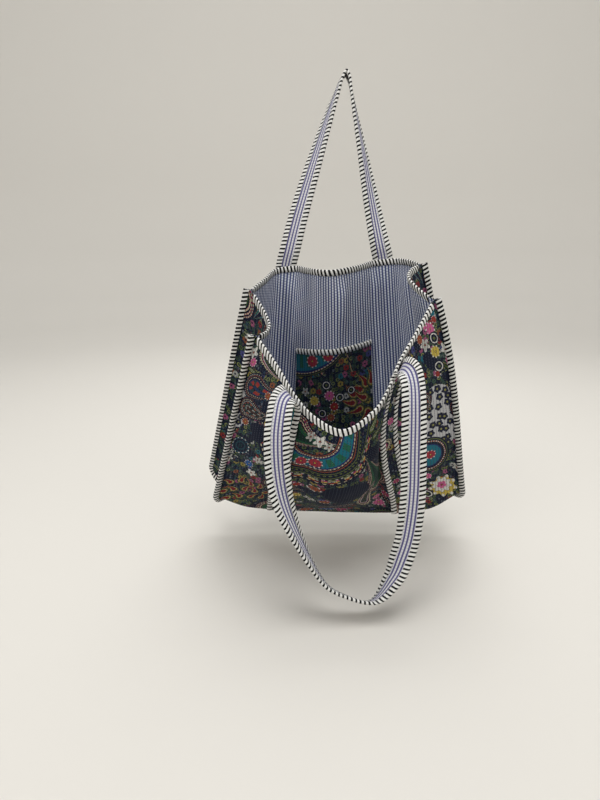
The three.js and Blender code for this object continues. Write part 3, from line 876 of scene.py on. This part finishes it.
across, down = split(tree, place)
lane = calc(tree, "FRACT", calc(tree, "DIVIDE", across, row_gap))
stops = [
    (0.0, tint("e8edf5")),
    (0.2, tint("a2abc6")),
    (0.26, tint("5a638e")),
    (0.38, tint("454e78")),
    (0.62, tint("5a638e")),
    (0.74, tint("a2abc6")),
    (0.8, tint("e8edf5")),
]
colour, _ = stepped(tree, lane, stops)
# painted shade where the lining dips between the stitches
colour = lay_over(tree, stitch_pit_shade(tree, across, down), colour, tint("414a64"))
# Painted shade: broad darker upright bands from slow noise across the cloth, standing in for the shade of
# soft folds.
fold_shade_noise = tree.nodes.new("ShaderNodeTexNoise")
fold_shade_noise.inputs["Scale"].default_value = 1.0
feed(tree, fold_shade_noise.inputs["Vector"], vector_calc(tree, "MULTIPLY", place, (0.045, 0.004, 0.0)))
fold_shade = calc(tree, "MULTIPLY_ADD", fold_shade_noise.outputs[0], 1.5, -0.68)
colour = lay_over(tree, fold_shade, colour, tint("364060"))
feed(tree, shader.inputs["Base Color"], colour)
body_lining = body_skin("body_lining", -1)
finish_piece(body_lining, striped_cotton, "striped_lining", "body")

# Running stitches: cotton thread, white on the lining and dark on the print, in and out every 4 mm along each
# quilting row. Each stitch is a small bead laid along its row.
thread_lift = 0.12


def stitch_tree():
    tree = bpy.data.node_groups.new("running stitch", "GeometryNodeTree")
    sockets = {}
    for label, kind in (
        ("Geometry", "Geometry"),
        ("Pitch", "Float"),
        ("Length", "Float"),
        ("Thickness", "Float"),
        ("Thread", "Material"),
    ):
        socket = tree.interface.new_socket(label, in_out="INPUT", socket_type=f"NodeSocket{kind}")
        sockets[label] = socket.identifier
    tree.interface.new_socket("Geometry", in_out="OUTPUT", socket_type="NodeSocketGeometry")
    given = tree.nodes.new("NodeGroupInput").outputs
    rows = tree.nodes.new("GeometryNodeMeshToCurve")
    feed(tree, rows.inputs["Mesh"], given["Geometry"])
    spots = tree.nodes.new("GeometryNodeResampleCurve")
    spots.mode = "LENGTH"
    feed(tree, spots.inputs["Curve"], rows.outputs["Curve"])
    feed(tree, spots.inputs["Length"], given["Pitch"])
    bead = tree.nodes.new("GeometryNodeMeshUVSphere")
    bead.inputs["Segments"].default_value = 4
    bead.inputs["Rings"].default_value = 2
    bead.inputs["Radius"].default_value = 0.5
    along = tree.nodes.new("GeometryNodeInputTangent")
    turn = tree.nodes.new("FunctionNodeAlignRotationToVector")
    turn.axis = "Z"
    feed(tree, turn.inputs["Vector"], along.outputs["Tangent"])
    size = tree.nodes.new("ShaderNodeCombineXYZ")
    feed(tree, size.inputs["X"], given["Thickness"])
    feed(tree, size.inputs["Y"], given["Thickness"])
    feed(tree, size.inputs["Z"], given["Length"])
    laid = tree.nodes.new("GeometryNodeInstanceOnPoints")
    feed(tree, laid.inputs["Points"], spots.outputs["Curve"])
    feed(tree, laid.inputs["Instance"], bead.outputs["Mesh"])
    feed(tree, laid.inputs["Rotation"], turn.outputs["Rotation"])
    feed(tree, laid.inputs["Scale"], size.outputs["Vector"])
    real = tree.nodes.new("GeometryNodeRealizeInstances")
    feed(tree, real.inputs["Geometry"], laid.outputs["Instances"])
    thread = tree.nodes.new("GeometryNodeSetMaterial")
    feed(tree, thread.inputs["Geometry"], real.outputs["Geometry"])
    feed(tree, thread.inputs["Material"], given["Thread"])
    feed(tree, tree.nodes.new("NodeGroupOutput").inputs["Geometry"], thread.outputs["Geometry"])
    return tree, sockets


running_stitch, stitch_inputs = stitch_tree()


def stitches(name, rows, thread, pitch=0.004, length=0.0027, thickness=0.001):
    """One plain mesh of all the stitches along the rows, each a line of points in millimetres."""
    points = np.concatenate(rows) * 0.001
    ends = np.cumsum([len(row) for row in rows])
    links = [(i, i + 1) for start, stop in zip([0, *ends[:-1]], ends) for i in range(start, stop - 1)]
    guide = bpy.data.meshes.new(name)
    guide.from_pydata(points.tolist(), links, [])
    piece = bpy.data.objects.new(name, guide)
    bpy.context.scene.collection.objects.link(piece)
    sewn = piece.modifiers.new("running stitch", "NODES")
    sewn.node_group = running_stitch
    sewn[stitch_inputs["Pitch"]] = pitch
    sewn[stitch_inputs["Length"]] = length
    sewn[stitch_inputs["Thickness"]] = thickness
    sewn[stitch_inputs["Thread"]] = thread
    graph = bpy.context.evaluated_depsgraph_get()
    made = bpy.data.meshes.new_from_object(piece.evaluated_get(graph))
    piece.modifiers.remove(sewn)
    piece.data = made
    bpy.data.meshes.remove(guide)
    made.name = name
    return piece


def thread_of(name, code):
    finish = bpy.data.materials.new(name)
    finish.use_nodes = True
    shader = finish.node_tree.nodes["Principled BSDF"]
    shader.inputs["Base Color"].default_value = tint(code)
    shader.inputs["Roughness"].default_value = 0.8
    return finish


white_thread = thread_of("white thread", "d6d6d8")
dark_thread = thread_of("dark thread", "3a4250")


def body_rows(way):
    """The quilting rows of the body on one side, every other one half a stitch on."""
    skin = body_face(way, thread_lift)
    clear_of_rim = (to_rim[:, 0] > 10) | ((body_s > 0.9) & (body_s < 2.1))
    rows = []
    for k in range(1, quilt_rows):
        line = skin[clear_of_rim, 3 * k]
        if k % 2:
            line = np.concatenate([(line[:1] + line[1:2]) / 2, line[1:]])
        rows.append(line)
    return rows


for label, way, thread, slot in (
    ("print", 1, dark_thread, "printed_cloth"),
    ("lining", -1, white_thread, "striped_lining"),
):
    finish_piece(stitches(f"body_{label}_stitches", body_rows(way), thread), thread, slot, "body")

# Gussets: a strip of the same quilted cloth at each end, folded inwards, with its two sides and its foot sewn
# to the body in the seam that stands out.
gusset_width = 103.0
gusset_rows = 21
row_scale = row_gap * gusset_rows / gusset_width
gusset_folds = {
    "left": [(0.0, 22, 16), (0.5, 30, 4), (1.0, 22, 16)],
    "right": [(0.0, 26, -6), (0.5, 32, 2), (1.0, 22, 16)],
}
# where on the print each is cut
gusset_place = {"left": (264, 505), "right": (276, 505)}


def gusset_cloth(name, side):
    """The middle of a gusset's cloth: b runs from its back edge to its front edge and v from rim to foot."""

    def surface(b, v):
        b, v = np.broadcast_arrays(np.asarray(b, float), np.asarray(v, float))
        at = np.full_like(v, 0.0 if side < 0 else 1.0)
        turn = through(gusset_folds[name], v)
        bend = 1 - np.abs(2 * b - 1) ** 1.7
        p = long_cloth(at, 3 - v) * (1 - b)[..., None] + long_cloth(at, v) * b[..., None]
        p[..., 0] += turn[..., 0] * -side * bend
        p[..., 2] -= turn[..., 1] * bend
        return p

    return surface


gusset_b = np.linspace(0, 1, 3 * gusset_rows + 1)
gusset_v = np.linspace(0, 1, 85)
grid_b, grid_v = np.meshgrid(gusset_b, gusset_v)
for name, side in (("left", -1), ("right", 1)):
    surface = gusset_cloth(name, side)
    at_x, at_y = grid_b * gusset_width, grid_v * panel_height
    sewn_in = np.minimum(np.minimum(at_x, gusset_width - at_x), panel_height - at_y)
    pressed = np.clip(np.maximum(1 - (sewn_in - 3) / 9, 1 - (at_y - 9) / 8), 0, 1)
    pull = np.clip(1 - sewn_in / 5, 0, 1)[..., None]
    ring_s = np.where(
        at_x < np.minimum(gusset_width - at_x, panel_height - at_y),
        3 - grid_v,
        np.where(gusset_width - at_x < panel_height - at_y, grid_v, 2 - grid_b),
    )
    to_gusset = seam(side, ring_s.ravel())[2].reshape(*ring_s.shape, 3)
    face = unit(out_of(surface, grid_b, grid_v, 1) * -side + to_gusset * pull)
    core = surface(grid_b, grid_v) + to_gusset * layer * pull
    core = core + face * (crumple(at_x + 50, at_y + 90) * (1 - pressed))[..., None]
    thick = (cloth + (bound_cloth - cloth) * pressed) / 2
    for label, way, finish, slot, thread in (
        ("print", 1, printed_cotton, "printed_cloth", dark_thread),
        ("lining", -1, striped_cotton, "striped_lining", white_thread),
    ):
        lift = way * (thick + quilting(at_x * row_scale, pressed))
        skin = core + face * lift[..., None]
        fin = []
        for s in (3 - gusset_v, gusset_v, 2 - gusset_b):
            line, out, inner = seam(side, s)
            fin.append(line + out * seam_cloth + inner * (layer + way * bound_cloth / 2))
        points = np.concatenate([fin[0][:, None], skin, fin[1][:, None]], axis=1)
        corner = np.concatenate([fin[2][:1], fin[2], fin[2][-1:]])
        points = np.concatenate([points, corner[None]], axis=0)
        uv_x = np.concatenate([[-seam_cloth], gusset_b * gusset_width, [gusset_width + seam_cloth]])
        uv_y = np.concatenate([gusset_v * panel_height, [panel_height + seam_cloth]])
        uv = np.stack(np.meshgrid(uv_x, uv_y), axis=-1) + gusset_place[name]
        if way < 0:
            uv[..., 0] = (uv[..., 0] - uv[0, 1, 0]) * row_scale
        piece = sheet_mesh(f"gusset_{name}_{label}", points, uv, flipped=(way * side > 0))
        finish_piece(piece, finish, slot, f"gusset_{name}")
        rows = [skin[4:-2, 3 * k] + face[4:-2, 3 * k] * way * thread_lift for k in range(1, gusset_rows)]
        rows = [row if k % 2 else row[1:] * 0.5 + row[:-1] * 0.5 for k, row in enumerate(rows)]
        sewn = stitches(f"gusset_{name}_{label}_stitches", rows, thread)
        finish_piece(sewn, thread, slot, f"gusset_{name}")

# Bindings: a folded cotton tape, woven in slanting black and white stripes, sewn over every raw edge. The
# stripes repeat every 6 mm, and the tape puffs a little over the edge that it holds.
tape = 0.8
gap = 0.35
rim_cover = 8.0
stripe = 6.06


def tape_finish(name, black, slant):
    finish, tree, shader, place = cotton(name, 0.85)
    along, over = split(tree, place)
    wander = tree.nodes.new("ShaderNodeTexNoise")
    wander.inputs["Scale"].default_value = 0.12
    feed(tree, wander.inputs["Vector"], place)
    shift = calc(tree, "MULTIPLY_ADD", wander.outputs[0], 1.2, calc(tree, "MULTIPLY", over, slant))
    turn = calc(tree, "FRACT", calc(tree, "DIVIDE", calc(tree, "ADD", along, shift), stripe))
    stops = [(0.0, tint("101013")), (black, tint("dcdcd9"))]
    colour, _ = stepped(tree, turn, stops)
    feed(tree, shader.inputs["Base Color"], colour)
    return finish


bold_tape = tape_finish("black and white tape", 0.43, 0.28)
even_tape = tape_finish("even black and white tape", 0.52, 0.28)


def tape_mesh(name, edge, out, n, half_height, cover, over, phase=0.0, pace=1.0):
    """A folded tape along an edge: out points past the edge, n through what it holds."""
    high = half_height + gap + tape
    tip = over + gap + tape
    fold = [
        (-cover, high),
        (-cover * 0.5, high + 0.25),
        (tip - 1.6, high),
        (tip - 0.5, high * 0.72),
        (tip, high * 0.3),
    ]
    fold = fold + [(a, -b) for a, b in reversed(fold)]
    under = [(-cover, high - tape), (-cover * 0.5, high - tape + 0.1), (tip - 1.8, high - tape)]
    under = under + [(tip - 1.0, 0.0)] + [(a, -b) for a, b in reversed(under)]
    loop = fold + under[::-1] + fold[:1]
    steps = np.linalg.norm(np.diff(edge, axis=0), axis=-1)
    along = np.concatenate([[0], np.cumsum(steps * pace)]) + phase
    puff = 1 + 0.05 * np.sin(along / 7.1) + 0.04 * np.sin(along / 3.3 + 1)
    rim = np.array(loop)
    points = edge[:, None] + out[:, None] * rim[None, :, :1]
    points = points + n[:, None] * (rim[None, :, 1:] * puff[:, None, None])
    for end in (0, -1):
        inside = points[end].mean(axis=0, keepdims=True).repeat(len(loop), axis=0)
        points = np.concatenate([inside[None], points] if end == 0 else [points, inside[None]])
    along = np.concatenate([along[:1], along, along[-1:]])
    across = np.concatenate([[0], np.cumsum(np.linalg.norm(np.diff(rim, axis=0), axis=-1))])
    # every tape's stripes lean the same way, whichever way its edge runs
    hand = np.sign(np.sum(np.cross(np.gradient(edge, axis=0), out) * n))
    uv = np.stack(np.meshgrid(across * hand, along), axis=-1)[..., ::-1]
    return sheet_mesh(name, points, uv)


# Seam bindings: one tape down each front edge, under the foot and up the back edge.
for name, side in (("left", -1), ("right", 1)):
    seam_s = np.interp(np.linspace(0, fold_at[3], 500), fold_at, [0, 1, 2, 3])
    line, out, to_gusset = seam(side, seam_s)
    edge = line + out * seam_fin
    held = bound_cloth + gap / 2
    piece = tape_mesh(f"striped_seam_binding_{name}", edge, out, to_gusset, held, seam_fin - 2.5, 0.2)
    finish_piece(piece, even_tape, "striped_tape", f"seam_binding_{name}")

# Rim bindings: one tape along each of the four top edges, over the ends of the seams' cloth.
rim_u = np.linspace(0.012, 0.988, 270)
for name, s_rim, way, finish in (("front", 0.0, 1, bold_tape), ("back", 3.0, -1, even_tape)):
    at = np.full_like(rim_u, s_rim)
    edge = long_cloth(rim_u, at)
    out = unit(edge - long_cloth(rim_u, at + way * 0.032))
    n = out_of(long_cloth, rim_u, at, 3)
    piece = tape_mesh(f"striped_rim_binding_{name}", edge, out, n, bound_cloth / 2, rim_cover, 0.0)
    finish_piece(piece, finish, "striped_tape", f"rim_binding_{name}")

for name, side in (("left", -1), ("right", 1)):
    surface = gusset_cloth(name, side)
    rim_b = np.linspace(0.07, 0.93, 70)
    at = np.zeros_like(rim_b)
    edge = surface(rim_b, at)
    out = unit(edge - surface(rim_b, at + 0.032))
    n = out_of(surface, rim_b, at, 1)
    piece = tape_mesh(f"striped_rim_binding_gusset_{name}", edge, out, n, bound_cloth / 2, rim_cover, 0.0)
    finish_piece(piece, even_tape, "striped_tape", f"rim_binding_gusset_{name}")

# Straps: two flat quilted bands, striped cotton on one side and printed cotton on the other, bound along both
# edges. Each is sewn to the outside from foot to rim and is then free as a loop.
strap_width = 32.0
strap_cover = 8.5
band = 1.8
strap_at = (0.246, 0.754)
strap_place = (282, 230)
sewn_gap = 0.9
sewn_rise = cloth / 2 + sewn_gap + tape + gap + band / 2
# places of the middle line, the plan angle of the line across the strap and how far that line slopes down
front_loop = [
    (-84, -252, -437, -42, 40),
    (-91, -268, -440, -36, 30),
    (-95, -280, -456, -18, 14),
    (-98, -287, -483, -4, 5),
    (-97, -289, -525, 10, 0),
    (-91, -290, -565, 34, 4),
    (-78, -291, -603, 58, 14),
    (-55, -292, -652, 76, 24),
    (-34, -294, -684, 84, 28),
    (-5, -294, -701, 88, 30),
    (26, -292, -708, 104, 30),
    (52, -288, -676, 134, 20),
    (63, -286, -646, 152, 10),
    (70, -285, -616, 160, 4),
    (74, -283, -565, 172, 0),
    (73, -280, -503, 180, 4),
    (72, -274, -449, 192, 10),
    (72, -263, -424, 206, 18),
    (70, -250, -410, 218, 30),
    (67, -236, -406, 227, 46),
]
back_loop = [
    (-85, -30, -256, 174, 0),
    (-72, -25, -206, 162, 0),
    (-57, -19, -156, 148, 0),
    (-41.5, -13, -107, 132, 0),
    (-26, -7, -60, 116, 0),
    (-13, -3, -23, 101, 0),
    (-7, -1, -7, 95, 0),
    (0, 0, 2, 90, 0),
    (5.5, -1, -7, 87, 0),
    (8.5, -3, -23, 83, 0),
    (16, -7, -60, 73, 0),
    (26, -12, -107, 60, 0),
    (36, -17, -156, 44, 0),
    (46, -22, -204, 28, 0),
    (56, -28, -249, 10, 0),
]


def sewn_rows(s_of, u, v, way):
    """Middle points of the sewn strap and the way across it, from the place on the cloth."""
    at = np.full_like(v, u)
    s = s_of(v)
    rise = sewn_rise + (tape + gap) * (1 - eased(np.clip(v / 0.1 - 0.3, 0, 1)))

    def lifted(aside):
        return long_cloth(at + aside, s) + out_of(long_cloth, at + aside, s, 3) * rise[:, None]

    return lifted(0), unit(lifted(0.03) - lifted(-0.03)) * way


def strap_path(s_of, way, loop, sewn_to):
    climb = np.concatenate([[sewn_to], np.linspace(0.1, 0.91, 10), [0.985]])
    up, up_across = sewn_rows(s_of, strap_at[0], climb[::-1], way)
    down, down_across = sewn_rows(s_of, strap_at[1], climb, -way)
    free = np.array(loop, float)
    turn, dip = np.radians(free[:, 3]), np.radians(free[:, 4])
    across = np.stack([np.cos(turn) * np.cos(dip), np.sin(turn) * np.cos(dip), -np.sin(dip)], axis=-1)
    keys = np.concatenate([up, free[:, :3], down])
    key_across = np.concatenate([up_across, across, down_across])
    run = np.concatenate([[0], np.cumsum(np.linalg.norm(np.diff(keys, axis=0), axis=-1))])
    at = np.linspace(0, run[-1], int(run[-1] / 2.2))
    path = through(np.column_stack([run, keys, key_across]), at)
    line = path[:, :3]
    along = unit(np.gradient(line, axis=0))
    side = unit(path[:, 3:] - along * np.sum(path[:, 3:] * along, axis=-1, keepdims=True))
    return line, side, np.cross(along, side)


# The free side of a strap is the striped cotton cut narrow, a blue line and a white one every 4.85 mm.
strap_row = 4.85
strap_cotton, tree, shader, place = cotton("strap cotton")
across, down = split(tree, place)
lane = calc(tree, "FRACT", calc(tree, "ADD", calc(tree, "DIVIDE", across, strap_row), 0.5))
from_line = calc(tree, "ABSOLUTE", calc(tree, "SUBTRACT", lane, 0.5))
stops = [(0.0, tint("53507a")), (0.17, tint("7a7a9c")), (0.23, tint("b4b4c2")), (0.28, tint("d6d6d6"))]
colour, _ = stepped(tree, from_line, stops)
# Painted shade where the cloth dips between the stitches, on the white lines, every 4 mm.
step = calc(tree, "LESS_THAN", calc(tree, "FRACT", calc(tree, "DIVIDE", down, 4.0)), 0.36)
pit_shade = calc(tree, "MULTIPLY", step, calc(tree, "GREATER_THAN", from_line, 0.28))
pit_shade = calc(tree, "MULTIPLY", pit_shade, 0.4)
feed(tree, shader.inputs["Base Color"], lay_over(tree, pit_shade, colour, tint("53507a")))

for name, s_of, way, loop, sewn_to in (
    ("front", lambda v: v, 1, front_loop, 0.032),
    ("back", lambda v: 3 - v, -1, back_loop, 0.0),
):
    line, side, face = strap_path(s_of, way, loop, sewn_to)
    run = np.concatenate([[0], np.cumsum(np.linalg.norm(np.diff(line, axis=0), axis=-1))])
    spread = np.linspace(-1, 1, 25) * (strap_width / 2 - 1.6)
    puff = 0.35 * np.abs(np.cos(np.pi * spread / 6.2)) - 0.1
    puff = np.where(np.abs(spread) > 7.6, 0.0, puff)
    lean = np.interp(run / run[-1], [0.3, 0.7], [1.3, -1.4])
    for label, up, finish, slot in (
        ("lining", 1, strap_cotton, "striped_lining"),
        ("print", -1, printed_cotton, "printed_cloth"),
    ):
        top = line[:, None] + side[:, None] * spread[None, :, None]
        top = top + face[:, None] * (up * (band / 2 + puff))[None, :, None]
        uv = np.stack(np.meshgrid(spread, run), axis=-1)
        if up > 0:
            uv[..., 0] -= lean[:, None]
        else:
            uv += strap_place
        piece = sheet_mesh(f"strap_{name}_{label}", top, uv, flipped=up < 0)
        finish_piece(piece, finish, slot, f"strap_{name}")
        rows = [line + side * (lean + k)[:, None] + face * up * (band / 2 + 0.3) for k in (-2.4, 2.4)]
        thread = white_thread if up > 0 else dark_thread
        sewn = stitches(f"strap_{name}_{label}_stitches", rows, thread)
        finish_piece(sewn, thread, slot, f"strap_{name}")
    # The tape is drawn out towards the foot of the sewn length, so its stripes lie further apart there.
    to_foot = np.minimum(run, run[-1] - run)[1:]
    pace = np.interp(to_foot, [0, panel_height, panel_height + 30], [0.5, 1.15, 1.0])
    for label, sign in (("start", -1), ("end", 1)):
        edge = line + side * sign * strap_width / 2
        piece = tape_mesh(
            f"striped_strap_binding_{name}_{label}",
            edge,
            side * sign,
            face,
            band / 2,
            strap_cover,
            -gap - tape,
            2.0 * sign,
            pace,
        )
        finish_piece(piece, bold_tape, "striped_tape", f"strap_binding_{name}_{label}")

# Pocket: a patch of the printed cloth sewn to the lining of the back, with its top edge bound.
pocket_u = (0.328, 0.672)
pocket_top = (0.378, 0.352)
pocket_foot = 0.8
pocket_cloth = 1.8
pocket_rows = 28
pocket_place = (102, -78)
quilt_room = 0.6
pocket_x = np.linspace(0, 1, 3 * pocket_rows + 1)
pocket_y = np.linspace(0, 1, 45)


def pocket_middle(x, share):
    u = pocket_u[0] + (pocket_u[1] - pocket_u[0]) * x
    top = pocket_top[0] + (pocket_top[1] - pocket_top[0]) * x
    v = top + (pocket_foot - top) * share
    n = out_of(long_cloth, u, 3 - v, 3)
    over_tape = (tape + gap) * (1 - eased(np.clip(4 * share, 0, 1)))
    lift = cloth / 2 + 2 * gap + pocket_cloth / 2 + over_tape + quilt_room
    return long_cloth(u, 3 - v) - n * lift[..., None], n


grid_x, grid_y = np.meshgrid(pocket_x, pocket_y)
core, n = pocket_middle(grid_x, grid_y)
wide = (pocket_u[1] - pocket_u[0]) * panel_width
tall = (pocket_foot - pocket_top[0]) * panel_height
skin = core - n * (pocket_cloth / 2 + quilting(grid_x * pocket_rows * row_gap, 0.0))[..., None]
turned_in = [skin[:, at] + n[:, at] * pocket_cloth for at in (slice(0, 1), slice(-1, None))]
rim = np.concatenate([turned_in[0], skin, turned_in[1]], axis=1)
uv_x = np.concatenate([[-2], pocket_x * wide, [wide + 2]])
uv = np.stack(np.meshgrid(uv_x, pocket_y * tall), axis=-1) + pocket_place
piece = sheet_mesh("pocket_print", rim, uv, flipped=True)
finish_piece(piece, printed_cotton, "printed_cloth", "pocket")
rows = [skin[3:, 3 * k] - n[3:, 3 * k] * thread_lift for k in range(1, pocket_rows)]
rows = [row if k % 2 else (row[1:] + row[:-1]) / 2 for k, row in enumerate(rows)]
sewn = stitches("pocket_stitches", rows, dark_thread)
finish_piece(sewn, dark_thread, "printed_cloth", "pocket")
top_x = np.linspace(0, 1, 96)
edge, n = pocket_middle(top_x, np.zeros_like(top_x))
out = unit(edge - pocket_middle(top_x, np.full_like(top_x, 0.075))[0])
piece = tape_mesh("striped_pocket_binding", edge, out, n, pocket_cloth / 2, rim_cover, 0.0)
finish_piece(piece, bold_tape, "striped_tape", "pocket_binding")

# Stage: a plain pale floor that rises far behind into a plain background, soft light, and the camera.
turns = np.linspace(0, 2 * np.pi, 97)
# radius and height in metres
profile = [
    (0.0, 0.0),
    (1.0, 0.0),
    (2.4, 0.0),
    (2.9, 0.05),
    (3.3, 0.2),
    (3.6, 0.5),
    (3.8, 1.0),
    (3.9, 2.0),
    (3.9, 5.0),
]
floor_points = np.array([[(r * np.cos(t), r * np.sin(t), z) for t in turns] for r, z in profile]) * 1000
floor_points[..., 2] -= 735
floor = sheet_mesh("floor", floor_points, floor_points[..., :2])
pale = bpy.data.materials.new("pale floor")
pale.use_nodes = True
pale.node_tree.nodes["Principled BSDF"].inputs["Base Color"].default_value = tint("d6d3cd")
pale.node_tree.nodes["Principled BSDF"].inputs["Roughness"].default_value = 0.95
floor.data.materials.append(pale)


def soft_light(name, place, aim, size, power):
    lamp = bpy.data.lights.new(name, "AREA")
    lamp.shape = "DISK"
    lamp.size = size
    lamp.energy = power
    lamp.color = (1.0, 0.99, 0.97)
    holder = bpy.data.objects.new(name, lamp)
    holder.location = place
    way = np.array(aim) - np.array(place)
    pitch = math.atan2(math.hypot(way[0], way[1]), -way[2])
    holder.rotation_euler = (pitch, 0, math.atan2(-way[0], way[1]))
    bpy.context.scene.collection.objects.link(holder)


soft_light("window", (-1.3, -1.7, 1.0), (0, -0.15, -0.45), 1.4, 17)
soft_light("room", (1.6, -1.6, 0.6), (0, -0.15, -0.45), 1.8, 7)
soft_light("top", (0.1, -0.6, 1.5), (0, -0.1, -0.4), 1.4, 22)
soft_light("behind", (0.2, 1.0, 1.2), (0, 0, -0.4), 1.4, 9)
soft_light("far wall", (0.0, 0.9, 2.2), (0, 3.6, 0.4), 1.6, 34)
world = bpy.data.worlds.new("soft room")
world.use_nodes = True
world.node_tree.nodes["Background"].inputs["Color"].default_value = (0.95, 0.97, 1.0, 1.0)
world.node_tree.nodes["Background"].inputs["Strength"].default_value = 0.64
bpy.context.scene.world = world
bpy.context.scene.view_settings.view_transform = "Standard"

lens = bpy.data.cameras.new("camera")
lens.sensor_fit = "AUTO"
lens.sensor_width = 36.0
lens.lens = 25.875
camera = bpy.data.objects.new("camera", lens)
camera.location = (-0.0694, -0.9624, -0.267)
camera.rotation_euler = (math.radians(76), 0, 0)
bpy.context.scene.collection.objects.link(camera)
bpy.context.scene.camera = camera
